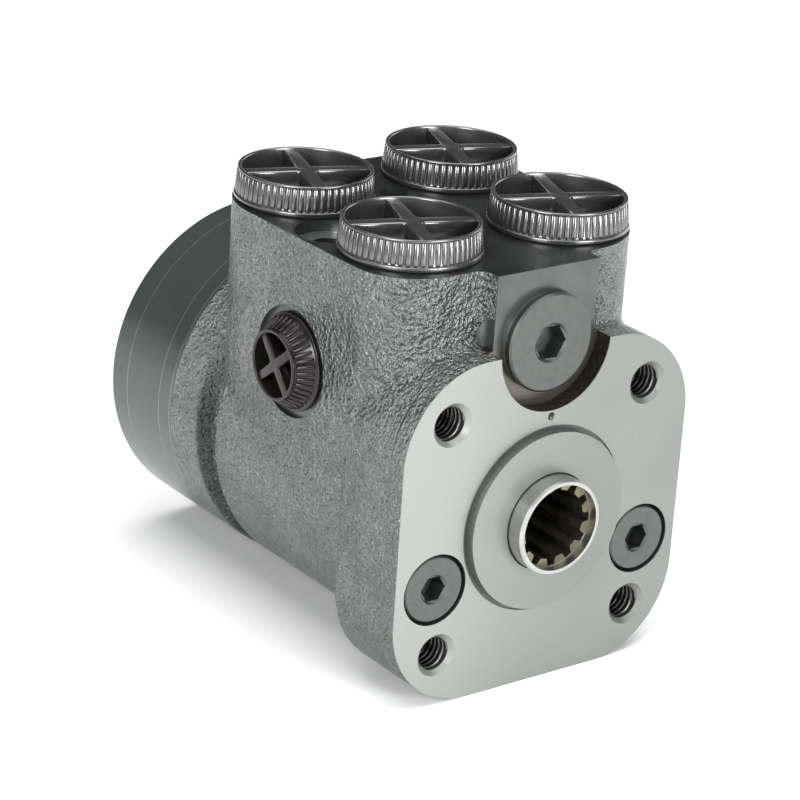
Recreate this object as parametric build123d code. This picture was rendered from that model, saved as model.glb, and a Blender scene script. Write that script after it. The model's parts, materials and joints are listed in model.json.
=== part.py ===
from build123d import *

import math
import os

os.makedirs("parts", exist_ok=True)

# Orbital hydraulic steering unit.
# The shaft axis is Y. The mounting face is the plane Y = 0 and the unit runs from it towards +Y.
# The hose ports face +Z. All sizes are in millimetres.

# ------------------------------------------------------------------ mounting flange
BOLT_SPACING = 58.34  # between neighbouring column bolt holes, which lie on an 82.5 circle
BOLT_TAP_R = 4.25
BOLT_MOUTH_R = 5.4
BOLT_DEPTH = 16.0
FLANGE_HALF_WIDTH = 42.3
FLANGE_TOP = 43.0
FLANGE_BOTTOM = -42.4
FLANGE_CORNER_R = 23.0
FLANGE_DEPTH = 25.4
FLANGE_REAR_ROUND = 3.0
SHOULDER_ROUND = 3.0  # cast cove between the flange and the port block
PILOT_R = 22.4
PILOT_HEIGHT = 2.1
PILOT_GROOVE_WIDTH = 1.1
PILOT_GROOVE_DEPTH = 0.35
MARK_R = 1.0  # centre-punched dimple above the pilot
MARK_Z = 26.0

# ------------------------------------------------------------------ round body
BODY_R = 42.0
NECK_SINK = 2.4
NECK_REAR_Y = 86.0
NECK_WIDTH = 8.0
NECK_ROUND = 2.5
RING_PROUD = 0.4  # how far the cast ring, gear ring and end cover stand out beyond the body
HOUSING_END_Y = 98.5

# ------------------------------------------------------------------ port block
PORT_FACE_Z = 61.4
PORT_X = 22.1
PORT_FRONT_Y = 29.7
PORT_PITCH_Y = 43.2
BLOCK_FRONT_WALL = 19.6  # the block's four walls, each from the nearest port axis
BLOCK_REAR_WALL = 19.1
BLOCK_LEFT_WALL = 18.9
BLOCK_RIGHT_WALL = 17.6
BLOCK_FRONT_LEFT_R = 15.0
BLOCK_FRONT_RIGHT_R = 21.0
BLOCK_REAR_LEFT_R = 22.5
BLOCK_REAR_RIGHT_R = 20.0
PAD_HALF_WIDTH = 15.0
PAD_Y = 5.0
PAD_ROUND = 3.0
PORT_SEAT_R = 11.9  # seal ring seat of an M22 x 1.5 port
PORT_SEAT_DEPTH = 2.5
PORT_TAP_R = 10.19
PORT_THREAD_LENGTH = 15.5
PASSAGE_R = 4.5
PASSAGE_LEAN = 24.0
PASSAGE_END_SHARE = 0.75  # the passages run in to this share of the bore's radius
STEP_HOLE_X = -31.8
STEP_HOLE_Y = 48.4
STEP_HOLE_R = 8.3
STEP_HOLE_DEPTH = 2.9
STEP_HOLE_BORE_R = 3.9
STEP_HOLE_BORE_DEPTH = 14.0
DRAIN_HOLE_Y = 66.2
DRAIN_HOLE_R = 3.6
DRAIN_HOLE_DEPTH = 9.0

# ------------------------------------------------------------------ load sensing port
SENSE_Y = 48.8
SENSE_Z = 30.0
SENSE_SPOT_R = 13.7
SENSE_SPOT_DEPTH = 1.2
SENSE_SEAT_R = 6.9  # seal ring seat of an M12 x 1.5 port
SENSE_SEAT_DEPTH = 2.4
SENSE_TAP_R = 5.19

# ------------------------------------------------------------------ rotary valve
SPOOL_END_R = 12.0
SPOOL_REACH = 6.8
SPOOL_R = 14.2
SLEEVE_R = 19.0
RUN_GAP = 0.03  # radial running clearance
END_GAP = 0.1  # axial running clearance
SPINDLE_GAP = 0.3
BEARING_SEAT_Y = 11.0
RACE_THICKNESS = 1.0
RACE_INNER_ROOM = 0.6
RACE_OUTER_ROOM = 0.4
NEEDLE_R = 1.0
NEEDLE_COUNT = 16
CAGE_THICKNESS = 1.2
NEEDLE_MARGIN = 0.8  # cage left beyond each end of a needle
SOCKET_MOUTH_R = 10.8
SOCKET_MOUTH_DEPTH = 2.4
SPLINE_TEETH = 12
SPLINE_FOOT_SHARE = 0.30  # half a tooth at its foot and at its tip, as shares of the pitch
SPLINE_TIP_SHARE = 0.17
INPUT_SPLINE_MINOR_R = 8.73
INPUT_SPLINE_MAJOR_R = 10.55
INPUT_SPLINE_LENGTH = 20.0
SPOOL_WEB = 5.0
SPOOL_BORE_R = 10.4
SPOOL_CHAMFER = 0.4
SPRING_Y = 31.0
SPRING_WIDTH = 6.0
LEAF_THICKNESS = 0.6
LEAF_COUNT = 4
LEAF_BOW = 1.3
BOW_END_ROOM = 2.5  # from the ends of the bowed leaves to the spool's bore
SLOT_SIDE_ROOM = 0.3  # left over on each side when the spool has turned all the way
SLOT_END_ROOM = 0.5
PIN_END_CHAMFER = 0.5
SPRING_RING_THICKNESS = 0.9
PIN_Y = 50.0
PIN_R = 4.0
LEAD_DEG = 12.0  # the spool turns this far either way inside the sleeve
SUPPLY_HOLE_R = 1.6
SUPPLY_GROOVE_DEPTH = 1.0
SUPPLY_GROOVE_WIDTH = 3.6
SUPPLY_ROWS_Y = (62.0, 72.0, 82.0)
SPOOL_SLOT_DEPTH = 1.2
SPOOL_SLOT_WIDTH = 3.0
SPOOL_SLOT_LENGTH = 24.0

# ------------------------------------------------------------------ orbit gear set
PLATE_THICKNESS = 5.0
GEAR_WIDTH = 15.2
COVER_THICKNESS = 8.0
LOBES = 7
LOBE_INSET = 9.4  # from the rim of the gear ring to the middle of a lobe
LOBE_R = 6.5
ECCENTRICITY = 3.0
TOOTH_GAP = 0.08
POCKET_GAP = 0.15
POINTS_PER_TOOTH = 16
SIDE_GAP = 0.03
PLATE_BORE_R = 11.5
FEED_HOLE_R = 2.2
FEED_INSET = 5.5  # from the circle of the lobe centres to that of the feed holes

# ------------------------------------------------------------------ drive shaft
DRIVE_SPLINE_MINOR_R = 8.8
DRIVE_SPLINE_MAJOR_R = 10.6
DRIVE_SPLINE_GAP = 0.4
DRIVE_SPLINE_EASE = 0.05  # share of the pitch, so that the shaft can nod
DRIVE_SPLINE_LENGTH = 9.5
DRIVE_FORK_R = 7.9
DRIVE_FORK_FRONT = 8.0
DRIVE_FORK_REAR = 14.0
DRIVE_SHANK_R = 6.6
FORK_SIDE_GAP = 0.3
FORK_END_GAP = 1.2
SPACER_THICKNESS = 1.7
SPACER_R = 7.6
FORK_CHAMFER = 1.0
CROWN_DROP = 0.6  # the ends of the crowned spline lie this far under its root
CORE_LAP = 0.01

# ------------------------------------------------------------------ end cover screws
SCREW_R = 4.0
SCREW_HOLE_GAP = 0.25
THREAD_GAP = 0.03
SCREW_THREAD_LENGTH = 10.5
SCREW_TIP_ROOM = 0.5
SCREW_HEAD_R = 6.5
SCREW_HEAD_HEIGHT = 5.0
SCREW_HEAD_CHAMFER = 0.5
SCREW_SOCKET_FLATS = 5.0
SCREW_SOCKET_DEPTH = 2.8
SCREW_POCKET_DEPTH = 4.8  # the heads are sunk in the end cover
SCREW_POCKET_GAP = 0.6
WASHER_THICKNESS = 1.2
WASHER_R = 6.6
WASHER_GAP = 0.1
ROLL_PIN_R = 1.5
ROLL_PIN_LENGTH = 3.0
SEAL_INSET = 2.4  # from the rim to the inside of the seal grooves
SEAL_GROOVE_WIDTH = 1.4
SEAL_GROOVE_DEPTH = 1.0
SEAL_GAP = 0.03
COVER_CHAMFER = 1.0

# ------------------------------------------------------------------ shaft seals
DUST_SEAL_Y = 0.6
DUST_SEAL_WIDTH = 3.0
DUST_SEAL_SECTION = 3.0
SHAFT_SEAL_Y = 6.0
SHAFT_SEAL_WIDTH = 2.6
SHAFT_SEAL_SECTION = 2.4

# ------------------------------------------------------------------ relief valve
RELIEF_Z = 43.6
RELIEF_SPOT_R = 16.2
RELIEF_HEAD_R = 12.2
RELIEF_HEAD_Y = 2.1
RELIEF_WASHER_THICKNESS = 1.0
RELIEF_WASHER_R = 11.9
RELIEF_STEM_R = 9.0
RELIEF_STEM_LENGTH = 11.0
RELIEF_SOCKET_FLATS = 8.0
RELIEF_SOCKET_DEPTH = 5.0
RELIEF_SOCKET_LEAD = 0.6
RELIEF_HEAD_CHAMFER = 0.5
SOCKET_LEAD_PROUD = 0.3  # a socket's lead is this much wider than its corners
PLUG_TIP_ROOM = 1.0
RELIEF_BORE_R = 6.5
RELIEF_BORE_END_Y = 47.0
RELIEF_SEAT_LENGTH = 6.0
RELIEF_SEAT_HOLE_R = 2.2
RELIEF_DRAIN_LENGTH = 8.0
RELIEF_ADJUSTER_LENGTH = 5.0
RELIEF_ADJUSTER_FLATS = 5.0
RELIEF_ADJUSTER_FLOOR = 1.5
RELIEF_ADJUSTER_ROOM = 1.5  # from the plug's stem to the adjuster
RELIEF_POPPET_LENGTH = 6.5
RELIEF_POPPET_R = 5.2
RELIEF_POPPET_FLANGE = 2.0
RELIEF_CONE_R = 3.0
RELIEF_CONE_TIP_R = 1.3
RELIEF_CONE_LENGTH = 2.6
RELIEF_CONE_REACH = 1.5  # how far before the seat the cone begins
RELIEF_SPRING_TURNS = 5
RELIEF_WIRE = 1.1
RELIEF_SPRING_R = 4.2

# ------------------------------------------------------------------ shock valves
SHOCK_X = 30.94
SHOCK_Z = -11.91
SHOCK_SPOT_R = 9.0
SHOCK_HEAD_R = 8.35
SHOCK_HEAD_Y = 0.3
SHOCK_HEAD_THICKNESS = 4.3
SHOCK_STEM_R = 6.6
SHOCK_STEM_LENGTH = 10.0
SHOCK_SOCKET_FLATS = 6.0
SHOCK_SOCKET_DEPTH = 5.0
SHOCK_SOCKET_LEAD = 0.5
SHOCK_HEAD_CHAMFER = 0.4
SHOCK_DRAIN_LENGTH = 5.0
SHOCK_CHAMBER_R = 4.2
SHOCK_SEAT_Y = 40.0
SHOCK_SEAT_R = 2.0
SHOCK_BALL_R = 3.0
SHOCK_SPRING_TURNS = 6
SHOCK_WIRE = 0.9
SHOCK_SPRING_R = 3.0

# ------------------------------------------------------------------ check and suction valves
CHECK_POCKET_R = 5.0
CHECK_POCKET_DEPTH = 15.5
CHECK_BUSHING_LENGTH = 6.0
CHECK_HOLE_R = 2.6
CHECK_BALL_R = 3.8
SUCTION_BORE_R = 3.8
SUCTION_BORE_DEPTH = 12.0
SUCTION_BALL_R = 3.5
SUCTION_PIN_R = 2.5
SUCTION_PIN_LENGTH = 2.5

# ------------------------------------------------------------------ port caps
CAP_TOP_R = 16.6
CAP_BASE_R = 17.2
CAP_HEIGHT = 7.6
CAP_LIP = 1.2
CAP_LIP_PROUD = 0.15
CAP_RIBS = 54
CAP_RIB_DEPTH = 0.45
RIB_FOOT_SHARE = 0.32  # half a rib at its foot and at its crest, as shares of the pitch
RIB_CREST_SHARE = 0.14
CAP_RIM = 1.0
CAP_FLOOR = 1.8
CAP_BAR_WIDTH = 3.6
CAP_BAR_DROP = 0.5
CAP_BAR_TURN = -20.0
CAP_CORNER_R = 1.2
CAP_SKIRT_WALL = 1.3
CAP_GAP = 0.05
CAP_END_GAP = 0.3
SENSE_CAP_TOP_R = 8.8
SENSE_CAP_BASE_R = 12.0
SENSE_CAP_HEIGHT = 6.2
SENSE_CAP_RIBS = 40
SENSE_CAP_BAR_WIDTH = 2.4
SENSE_CAP_TURN = 40.0

# ------------------------------------------------------------------ worked-out places
RING_R = BODY_R + RING_PROUD
NECK_R = BODY_R - NECK_SINK
NECK_FRONT_Y = NECK_REAR_Y - NECK_WIDTH
LOBE_CENTRE_R = RING_R - LOBE_INSET
SCREW_CIRCLE_R = LOBE_CENTRE_R  # each cover screw runs through the middle of a lobe
FEED_CIRCLE_R = LOBE_CENTRE_R - FEED_INSET
SEAL_GROOVE_R = RING_R - SEAL_INSET
SEAL_GROOVE_OUTER_R = SEAL_GROOVE_R + SEAL_GROOVE_WIDTH
PLATE_Y = HOUSING_END_Y
GEAR_Y = PLATE_Y + PLATE_THICKNESS
COVER_Y = GEAR_Y + GEAR_WIDTH
COVER_END_Y = COVER_Y + COVER_THICKNESS
SCREW_SEAT_Y = COVER_END_Y - SCREW_POCKET_DEPTH
PORT_REAR_Y = PORT_FRONT_Y + PORT_PITCH_Y
BLOCK_LEFT_X = -PORT_X - BLOCK_LEFT_WALL
SENSE_THREAD_LENGTH = BLOCK_LEFT_WALL - SENSE_SPOT_DEPTH - SENSE_SEAT_DEPTH  # in to the left-hand ports' row
BLOCK_RIGHT_X = PORT_X + BLOCK_RIGHT_WALL
BLOCK_FRONT_Y = PORT_FRONT_Y - BLOCK_FRONT_WALL
BLOCK_REAR_Y = PORT_REAR_Y + BLOCK_REAR_WALL
BLOCK_CORNERS = (
    (BLOCK_LEFT_X, BLOCK_FRONT_Y, BLOCK_FRONT_LEFT_R),
    (BLOCK_RIGHT_X, BLOCK_FRONT_Y, BLOCK_FRONT_RIGHT_R),
    (BLOCK_LEFT_X, BLOCK_REAR_Y, BLOCK_REAR_LEFT_R),
    (BLOCK_RIGHT_X, BLOCK_REAR_Y, BLOCK_REAR_RIGHT_R),
)
SLEEVE_BORE_R = SPOOL_R + RUN_GAP
HOUSING_BORE_R = SLEEVE_R + RUN_GAP
SUCTION_CIRCLE_R = (HOUSING_BORE_R + SEAL_GROOVE_R) / 2
RACE_INNER_R = SPOOL_END_R + RACE_INNER_ROOM
RACE_OUTER_R = SLEEVE_R - RACE_OUTER_ROOM
CAGE_Y = BEARING_SEAT_Y + RACE_THICKNESS + RUN_GAP
INNER_RACE_Y = CAGE_Y + 2 * NEEDLE_R + RUN_GAP
SLEEVE_Y = INNER_RACE_Y + RACE_THICKNESS + RUN_GAP
SLEEVE_END_Y = HOUSING_END_Y - END_GAP
SOCKET_Y = SOCKET_MOUTH_DEPTH - SPOOL_REACH
SPOOL_BORE_Y = SOCKET_Y + INPUT_SPLINE_LENGTH + SPOOL_WEB
LEAD_SWING = 2 * SPOOL_R * math.sin(math.radians(LEAD_DEG))
SPRING_PACK = LEAF_COUNT * LEAF_THICKNESS
GEAR_MIDDLE_Y = GEAR_Y + GEAR_WIDTH / 2
DRIVE_REACH = GEAR_MIDDLE_Y - PIN_Y
DRIVE_TILT = math.degrees(math.atan2(ECCENTRICITY, DRIVE_REACH))
SCREW_ANGLES = [360.0 * lobe / LOBES for lobe in range(LOBES)]
POCKET_ANGLES = [angle + 180.0 / LOBES for angle in SCREW_ANGLES]
SUCTION_ANGLES = {"left": POCKET_ANGLES[2], "right": POCKET_ANGLES[0]}
PIN_SCREW_ANGLE = SCREW_ANGLES[5]
SHOCK_BALL_Y = SHOCK_SEAT_Y - math.sqrt(SHOCK_BALL_R**2 - SHOCK_SEAT_R**2) - RUN_GAP
RELIEF_ADJUSTER_Y = PAD_Y + RELIEF_STEM_LENGTH + RELIEF_ADJUSTER_ROOM
RELIEF_SEAT_Y = RELIEF_BORE_END_Y - RELIEF_SEAT_LENGTH
RELIEF_POPPET_Y = RELIEF_SEAT_Y - RELIEF_POPPET_LENGTH
PORT_FLOOR_Z = PORT_FACE_Z - PORT_SEAT_DEPTH - PORT_THREAD_LENGTH
CHECK_BALL_Z = PORT_FLOOR_Z - CHECK_POCKET_DEPTH + CHECK_BALL_R + RUN_GAP
PORT_PLACES = {
    "front_left": (-PORT_X, PORT_FRONT_Y),
    "front_right": (PORT_X, PORT_FRONT_Y),
    "rear_left": (-PORT_X, PORT_REAR_Y),
    "rear_right": (PORT_X, PORT_REAR_Y),
}
CHECK_PORT = "front_right"
BASE = (Align.CENTER, Align.CENTER, Align.MIN)


# ------------------------------------------------------------------ building blocks
def rod_y(radius, start, end, x=0.0, z=0.0):
    """A round bar along +Y."""
    return Pos(x, start, z) * Rot(-90, 0, 0) * Cylinder(radius, end - start, align=BASE)


def rod_z(radius, bottom, top, x=0.0, y=0.0):
    """A round bar along +Z."""
    return Pos(x, y, bottom) * Cylinder(radius, top - bottom, align=BASE)


def ring_y(outer, inner, start, end):
    """A plain ring round the shaft axis."""
    return rod_y(outer, start, end) - rod_y(inner, start, end)


def turned(points):
    """A body turned about the Y axis from (radius, y) corners."""
    return revolve(make_face(Polyline(*points, close=True)), Axis.Y)


def along_y(sketch, start, end):
    """A sketch drawn in X and Z, carried along +Y from start to end."""
    return extrude(Plane.XZ.offset(-start) * sketch, amount=start - end)


def hexagon(flats):
    """A hexagon by its size across flats."""
    return RegularPolygon(flats / 2, 6, major_radius=False)


def around(radius, angle_deg):
    """X and Z of a point on a circle round the shaft axis."""
    angle = math.radians(angle_deg)
    return radius * math.cos(angle), radius * math.sin(angle)


def coil(mean_r, wire, start, end, turns, x, z):
    """A compression spring of square wire along +Y."""
    length = end - start - wire
    path = Helix(length / turns, length, mean_r)
    section = Plane(path @ 0, x_dir=(0, 0, 1), z_dir=path % 0) * Rectangle(wire, wire)
    spring = sweep(section, path, is_frenet=True)
    return Pos(x, start + wire / 2, z) * Rot(-90, 0, 0) * spring


def toothed(minor_r, major_r, teeth, ease=0.0):
    """A spline outline with straight-sided teeth, each flank drawn in by a share of the pitch."""
    pitch = 2 * math.pi / teeth
    foot = SPLINE_FOOT_SHARE - ease
    tip = SPLINE_TIP_SHARE - ease
    corners = []
    for tooth in range(teeth):
        for share, radius in ((-foot, minor_r), (-tip, major_r), (tip, major_r), (foot, minor_r)):
            angle = (tooth + share) * pitch
            corners.append((radius * math.cos(angle), radius * math.sin(angle)))
    return make_face(Polyline(*corners, close=True))


# ------------------------------------------------------------------ housing
def block_outline():
    """The port block seen from above."""
    width = BLOCK_RIGHT_X - BLOCK_LEFT_X
    depth = BLOCK_REAR_Y - BLOCK_FRONT_Y
    middle_x = (BLOCK_LEFT_X + BLOCK_RIGHT_X) / 2
    outline = Pos(middle_x, (BLOCK_FRONT_Y + BLOCK_REAR_Y) / 2) * Rectangle(width, depth)
    for x, y, radius in BLOCK_CORNERS:
        corner = outline.vertices().sort_by_distance((x, y, 0))[0]
        outline = fillet(corner, radius)
    return outline


def padded_block():
    """The port block with the milled pad in front."""
    pad_depth = PORT_FRONT_Y - PAD_Y
    outline = block_outline() + Pos(0, PAD_Y + pad_depth / 2) * Rectangle(2 * PAD_HALF_WIDTH, pad_depth)
    for x in (-PAD_HALF_WIDTH, PAD_HALF_WIDTH):
        inner = outline.vertices().sort_by_distance((x, BLOCK_FRONT_Y, 0))[0]
        outline = fillet(inner, PAD_ROUND)
    return extrude(outline, amount=PORT_FACE_Z)


def flange_block():
    """The square head of the housing."""
    height = FLANGE_TOP - FLANGE_BOTTOM
    outline = Pos(0, (FLANGE_TOP + FLANGE_BOTTOM) / 2) * RectangleRounded(
        2 * FLANGE_HALF_WIDTH, height, FLANGE_CORNER_R
    )
    return along_y(outline, 0, FLANGE_DEPTH)


def on_shoulder(edge):
    """Whether an edge is the inner corner between the flange and the port block."""
    box = edge.bounding_box()
    between = BLOCK_FRONT_Y - 1 < box.min.Y and box.max.Y < FLANGE_DEPTH - 0.1
    return between and box.min.Z > 0 and box.max.Z < FLANGE_TOP + 0.1


def casting_head():
    """Flange and port block with a cove between them, and the flange's rear edge rounded beside the block."""
    flange = flange_block()
    block = extrude(block_outline(), amount=PORT_FACE_Z)
    head = flange + block
    head = fillet([edge for edge in head.edges() if on_shoulder(edge)], SHOULDER_ROUND)
    rear = flange.faces().sort_by(Axis.Y)[-1]
    waste = flange - fillet(rear.edges(), FLANGE_REAR_ROUND) - block
    return head - waste


def round_body():
    """The barrel behind the flange, its cast neck and the ring that carries the gear set."""
    start = FLANGE_DEPTH / 2
    outline = Polyline(
        (0, start),
        (BODY_R, start),
        (BODY_R, NECK_FRONT_Y),
        (NECK_R, NECK_FRONT_Y + NECK_ROUND),
        (NECK_R, NECK_REAR_Y - NECK_ROUND),
        (RING_R, NECK_REAR_Y),
        (RING_R, HOUSING_END_Y),
        (0, HOUSING_END_Y),
        close=True,
    )
    face = make_face(outline)
    bends = [v for v in face.vertices() if NECK_FRONT_Y - 1 < v.Y < NECK_REAR_Y + 1]
    return revolve(fillet(bends, NECK_ROUND), Axis.Y)


def housing_outside():
    """The casting before any machining."""
    body = casting_head() + round_body() + padded_block()
    pilot = rod_y(PILOT_R, -PILOT_HEIGHT, FLANGE_DEPTH / 2)
    return body + pilot


def passage(place_x, place_y, top_z):
    """A drilling that leans from under a port to the valve bore."""
    lean = math.copysign(math.radians(PASSAGE_LEAN), place_x)
    reach = (top_z - HOUSING_BORE_R * PASSAGE_END_SHARE) / math.cos(lean)
    return Pos(place_x, place_y, top_z) * Rot(0, 180 + math.degrees(lean), 0) * Cylinder(
        PASSAGE_R, reach, align=BASE
    )


def port_cuts():
    """The tapped hose ports and what lies under them."""
    cuts = []
    for name, (x, y) in PORT_PLACES.items():
        cuts.append(rod_z(PORT_SEAT_R, PORT_FACE_Z - PORT_SEAT_DEPTH, PORT_FACE_Z, x, y))
        cuts.append(rod_z(PORT_TAP_R, PORT_FLOOR_Z, PORT_FACE_Z, x, y))
        if name == CHECK_PORT:
            floor = PORT_FLOOR_Z - CHECK_POCKET_DEPTH
            cuts.append(rod_z(CHECK_POCKET_R, floor, PORT_FLOOR_Z, x, y))
            cuts.append(passage(x, y, floor + CHECK_BALL_R))
        else:
            cuts.append(passage(x, y, PORT_FLOOR_Z))
    return cuts


def face_hole_cuts():
    """The stepped hole and the small plain hole in the port face."""
    step_floor = PORT_FACE_Z - STEP_HOLE_DEPTH
    return [
        rod_z(STEP_HOLE_R, step_floor, PORT_FACE_Z, STEP_HOLE_X, STEP_HOLE_Y),
        rod_z(STEP_HOLE_BORE_R, step_floor - STEP_HOLE_BORE_DEPTH, step_floor, STEP_HOLE_X, STEP_HOLE_Y),
        rod_z(DRAIN_HOLE_R, PORT_FACE_Z - DRAIN_HOLE_DEPTH, PORT_FACE_Z, 0, DRAIN_HOLE_Y),
    ]


def sense_cuts():
    """The load sensing port in the left wall."""
    floor = BLOCK_LEFT_X + SENSE_SPOT_DEPTH
    outward = Pos(floor, SENSE_Y, SENSE_Z) * Rot(0, -90, 0)
    spot = outward * Cylinder(SENSE_SPOT_R, SENSE_SPOT_R, align=BASE)
    inward = Pos(floor, SENSE_Y, SENSE_Z) * Rot(0, 90, 0)
    seat = inward * Cylinder(SENSE_SEAT_R, SENSE_SEAT_DEPTH, align=BASE)
    tap = inward * Cylinder(SENSE_TAP_R, SENSE_SEAT_DEPTH + SENSE_THREAD_LENGTH, align=BASE)
    return [spot, seat, tap]


def flange_cuts():
    """The column bolt holes, the pilot's groove and the punched mark."""
    cuts = []
    half = BOLT_SPACING / 2
    lead = BOLT_MOUTH_R - BOLT_TAP_R
    for x in (-half, half):
        for z in (-half, half):
            cuts.append(rod_y(BOLT_TAP_R, 0, BOLT_DEPTH, x, z))
            mouth = Cone(BOLT_MOUTH_R, BOLT_TAP_R, lead, align=BASE)
            cuts.append(Pos(x, 0, z) * Rot(-90, 0, 0) * mouth)
    cuts.append(ring_y(PILOT_R + PILOT_GROOVE_WIDTH, PILOT_R, 0, PILOT_GROOVE_DEPTH))
    cuts.append(Pos(0, 0, MARK_Z) * Sphere(MARK_R))
    return cuts


def bore_cuts():
    """The valve bore, the spindle hole and the seal grooves."""
    spindle_r = SPOOL_END_R + SPINDLE_GAP
    return [
        rod_y(spindle_r, -PILOT_HEIGHT, BEARING_SEAT_Y),
        rod_y(HOUSING_BORE_R, BEARING_SEAT_Y, HOUSING_END_Y),
        rod_y(spindle_r + DUST_SEAL_SECTION, DUST_SEAL_Y, DUST_SEAL_Y + DUST_SEAL_WIDTH),
        rod_y(spindle_r + SHAFT_SEAL_SECTION, SHAFT_SEAL_Y, SHAFT_SEAL_Y + SHAFT_SEAL_WIDTH),
        ring_y(SEAL_GROOVE_OUTER_R, SEAL_GROOVE_R, HOUSING_END_Y - SEAL_GROOVE_DEPTH, HOUSING_END_Y),
    ]


def relief_cuts():
    """The relief valve's spot face, thread and bore."""
    stem_end = PAD_Y + RELIEF_STEM_LENGTH + PLUG_TIP_ROOM
    drain_end = RELIEF_BORE_END_Y + RELIEF_DRAIN_LENGTH
    return [
        rod_y(RELIEF_SPOT_R, -PILOT_HEIGHT, PAD_Y, 0, RELIEF_Z),
        rod_y(RELIEF_STEM_R, PAD_Y, stem_end, 0, RELIEF_Z),
        rod_y(RELIEF_BORE_R, stem_end, RELIEF_BORE_END_Y, 0, RELIEF_Z),
        rod_y(RELIEF_SEAT_HOLE_R, RELIEF_BORE_END_Y, drain_end, 0, RELIEF_Z),
    ]


def shock_cuts():
    """Both shock valve bores."""
    cuts = []
    neck_y = SHOCK_HEAD_Y + SHOCK_HEAD_THICKNESS
    stem_end = neck_y + SHOCK_STEM_LENGTH + PLUG_TIP_ROOM
    drain_end = SHOCK_SEAT_Y + SHOCK_DRAIN_LENGTH
    for x in (-SHOCK_X, SHOCK_X):
        cuts.append(rod_y(SHOCK_SPOT_R, 0, neck_y, x, SHOCK_Z))
        cuts.append(rod_y(SHOCK_STEM_R, neck_y, stem_end, x, SHOCK_Z))
        cuts.append(rod_y(SHOCK_CHAMBER_R, stem_end, SHOCK_SEAT_Y, x, SHOCK_Z))
        cuts.append(rod_y(SHOCK_SEAT_R, SHOCK_SEAT_Y, drain_end, x, SHOCK_Z))
    return cuts


def rear_cuts():
    """The cover screw threads and the suction valve bores in the rear face."""
    cuts = []
    floor = HOUSING_END_Y - SCREW_THREAD_LENGTH - SCREW_TIP_ROOM
    for angle in SCREW_ANGLES:
        cuts.append(rod_y(SCREW_R, floor, HOUSING_END_Y, *around(SCREW_CIRCLE_R, angle)))
    for angle in SUCTION_ANGLES.values():
        x, z = around(SUCTION_CIRCLE_R, angle)
        cuts.append(rod_y(SUCTION_BORE_R, HOUSING_END_Y - SUCTION_BORE_DEPTH, HOUSING_END_Y, x, z))
    return cuts


def housing():
    """The machined housing."""
    body = housing_outside()
    cuts = flange_cuts() + bore_cuts() + port_cuts() + face_hole_cuts() + sense_cuts()
    cuts += relief_cuts() + shock_cuts() + rear_cuts()
    return body - cuts


# ------------------------------------------------------------------ shaft seals and bearing
def dust_seal():
    """The lip seal at the mouth of the spindle hole."""
    outer = SPOOL_END_R + SPINDLE_GAP + DUST_SEAL_SECTION - SEAL_GAP
    end = DUST_SEAL_Y + DUST_SEAL_WIDTH - SEAL_GAP
    return ring_y(outer, SPOOL_END_R + RUN_GAP, DUST_SEAL_Y + SEAL_GAP, end)


def shaft_seal():
    """The square-section pressure seal behind the dust seal."""
    outer = SPOOL_END_R + SPINDLE_GAP + SHAFT_SEAL_SECTION - SEAL_GAP
    end = SHAFT_SEAL_Y + SHAFT_SEAL_WIDTH - SEAL_GAP
    return ring_y(outer, SPOOL_END_R + RUN_GAP, SHAFT_SEAL_Y + SEAL_GAP, end)


def bearing_race_outer():
    """The thrust race against the housing."""
    return ring_y(RACE_OUTER_R, RACE_INNER_R, BEARING_SEAT_Y, BEARING_SEAT_Y + RACE_THICKNESS)


def bearing_race_inner():
    """The thrust race against the sleeve."""
    return ring_y(RACE_OUTER_R, RACE_INNER_R, INNER_RACE_Y, INNER_RACE_Y + RACE_THICKNESS)


def bearing_cage():
    """The thrust needles in their cage."""
    middle_y = CAGE_Y + NEEDLE_R
    cage = ring_y(RACE_OUTER_R, RACE_INNER_R, middle_y - CAGE_THICKNESS / 2, middle_y + CAGE_THICKNESS / 2)
    length = RACE_OUTER_R - RACE_INNER_R - 2 * NEEDLE_MARGIN
    needle = Rot(0, 90, 0) * Cylinder(NEEDLE_R, length, align=BASE)
    needle = Pos(RACE_INNER_R + NEEDLE_MARGIN, middle_y, 0) * needle
    return cage + [Rot(0, 360.0 * place / NEEDLE_COUNT, 0) * needle for place in range(NEEDLE_COUNT)]


# ------------------------------------------------------------------ rotary valve
def sleeve():
    """The outer valve sleeve."""
    body = ring_y(SLEEVE_R, SLEEVE_BORE_R, SLEEVE_Y, SLEEVE_END_Y)
    slot_length = SPRING_WIDTH + 2 * RUN_GAP
    slot = Pos(0, SPRING_Y, 0) * Box(3 * SLEEVE_R, slot_length, SPRING_PACK + 2 * RUN_GAP)
    half_ring = slot_length / 2
    seat_r = SLEEVE_R - SPRING_RING_THICKNESS - RUN_GAP
    seat = ring_y(SLEEVE_R + 1, seat_r, SPRING_Y - half_ring, SPRING_Y + half_ring)
    pin_hole = rod_z(PIN_R + RUN_GAP, -SLEEVE_R - 1, SLEEVE_R + 1, 0, PIN_Y)
    cuts = [slot, seat, pin_hole]
    for row_y in SUPPLY_ROWS_Y:
        half = SUPPLY_GROOVE_WIDTH / 2
        cuts.append(ring_y(SLEEVE_R + 1, SLEEVE_R - SUPPLY_GROOVE_DEPTH, row_y - half, row_y + half))
        for hole in range(LOBES):
            turn = Rot(0, 360.0 * hole / LOBES, 0)
            cuts.append(turn * Pos(0, row_y, 0) * Cylinder(SUPPLY_HOLE_R, SLEEVE_R + 1, align=BASE))
    return body - cuts


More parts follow.
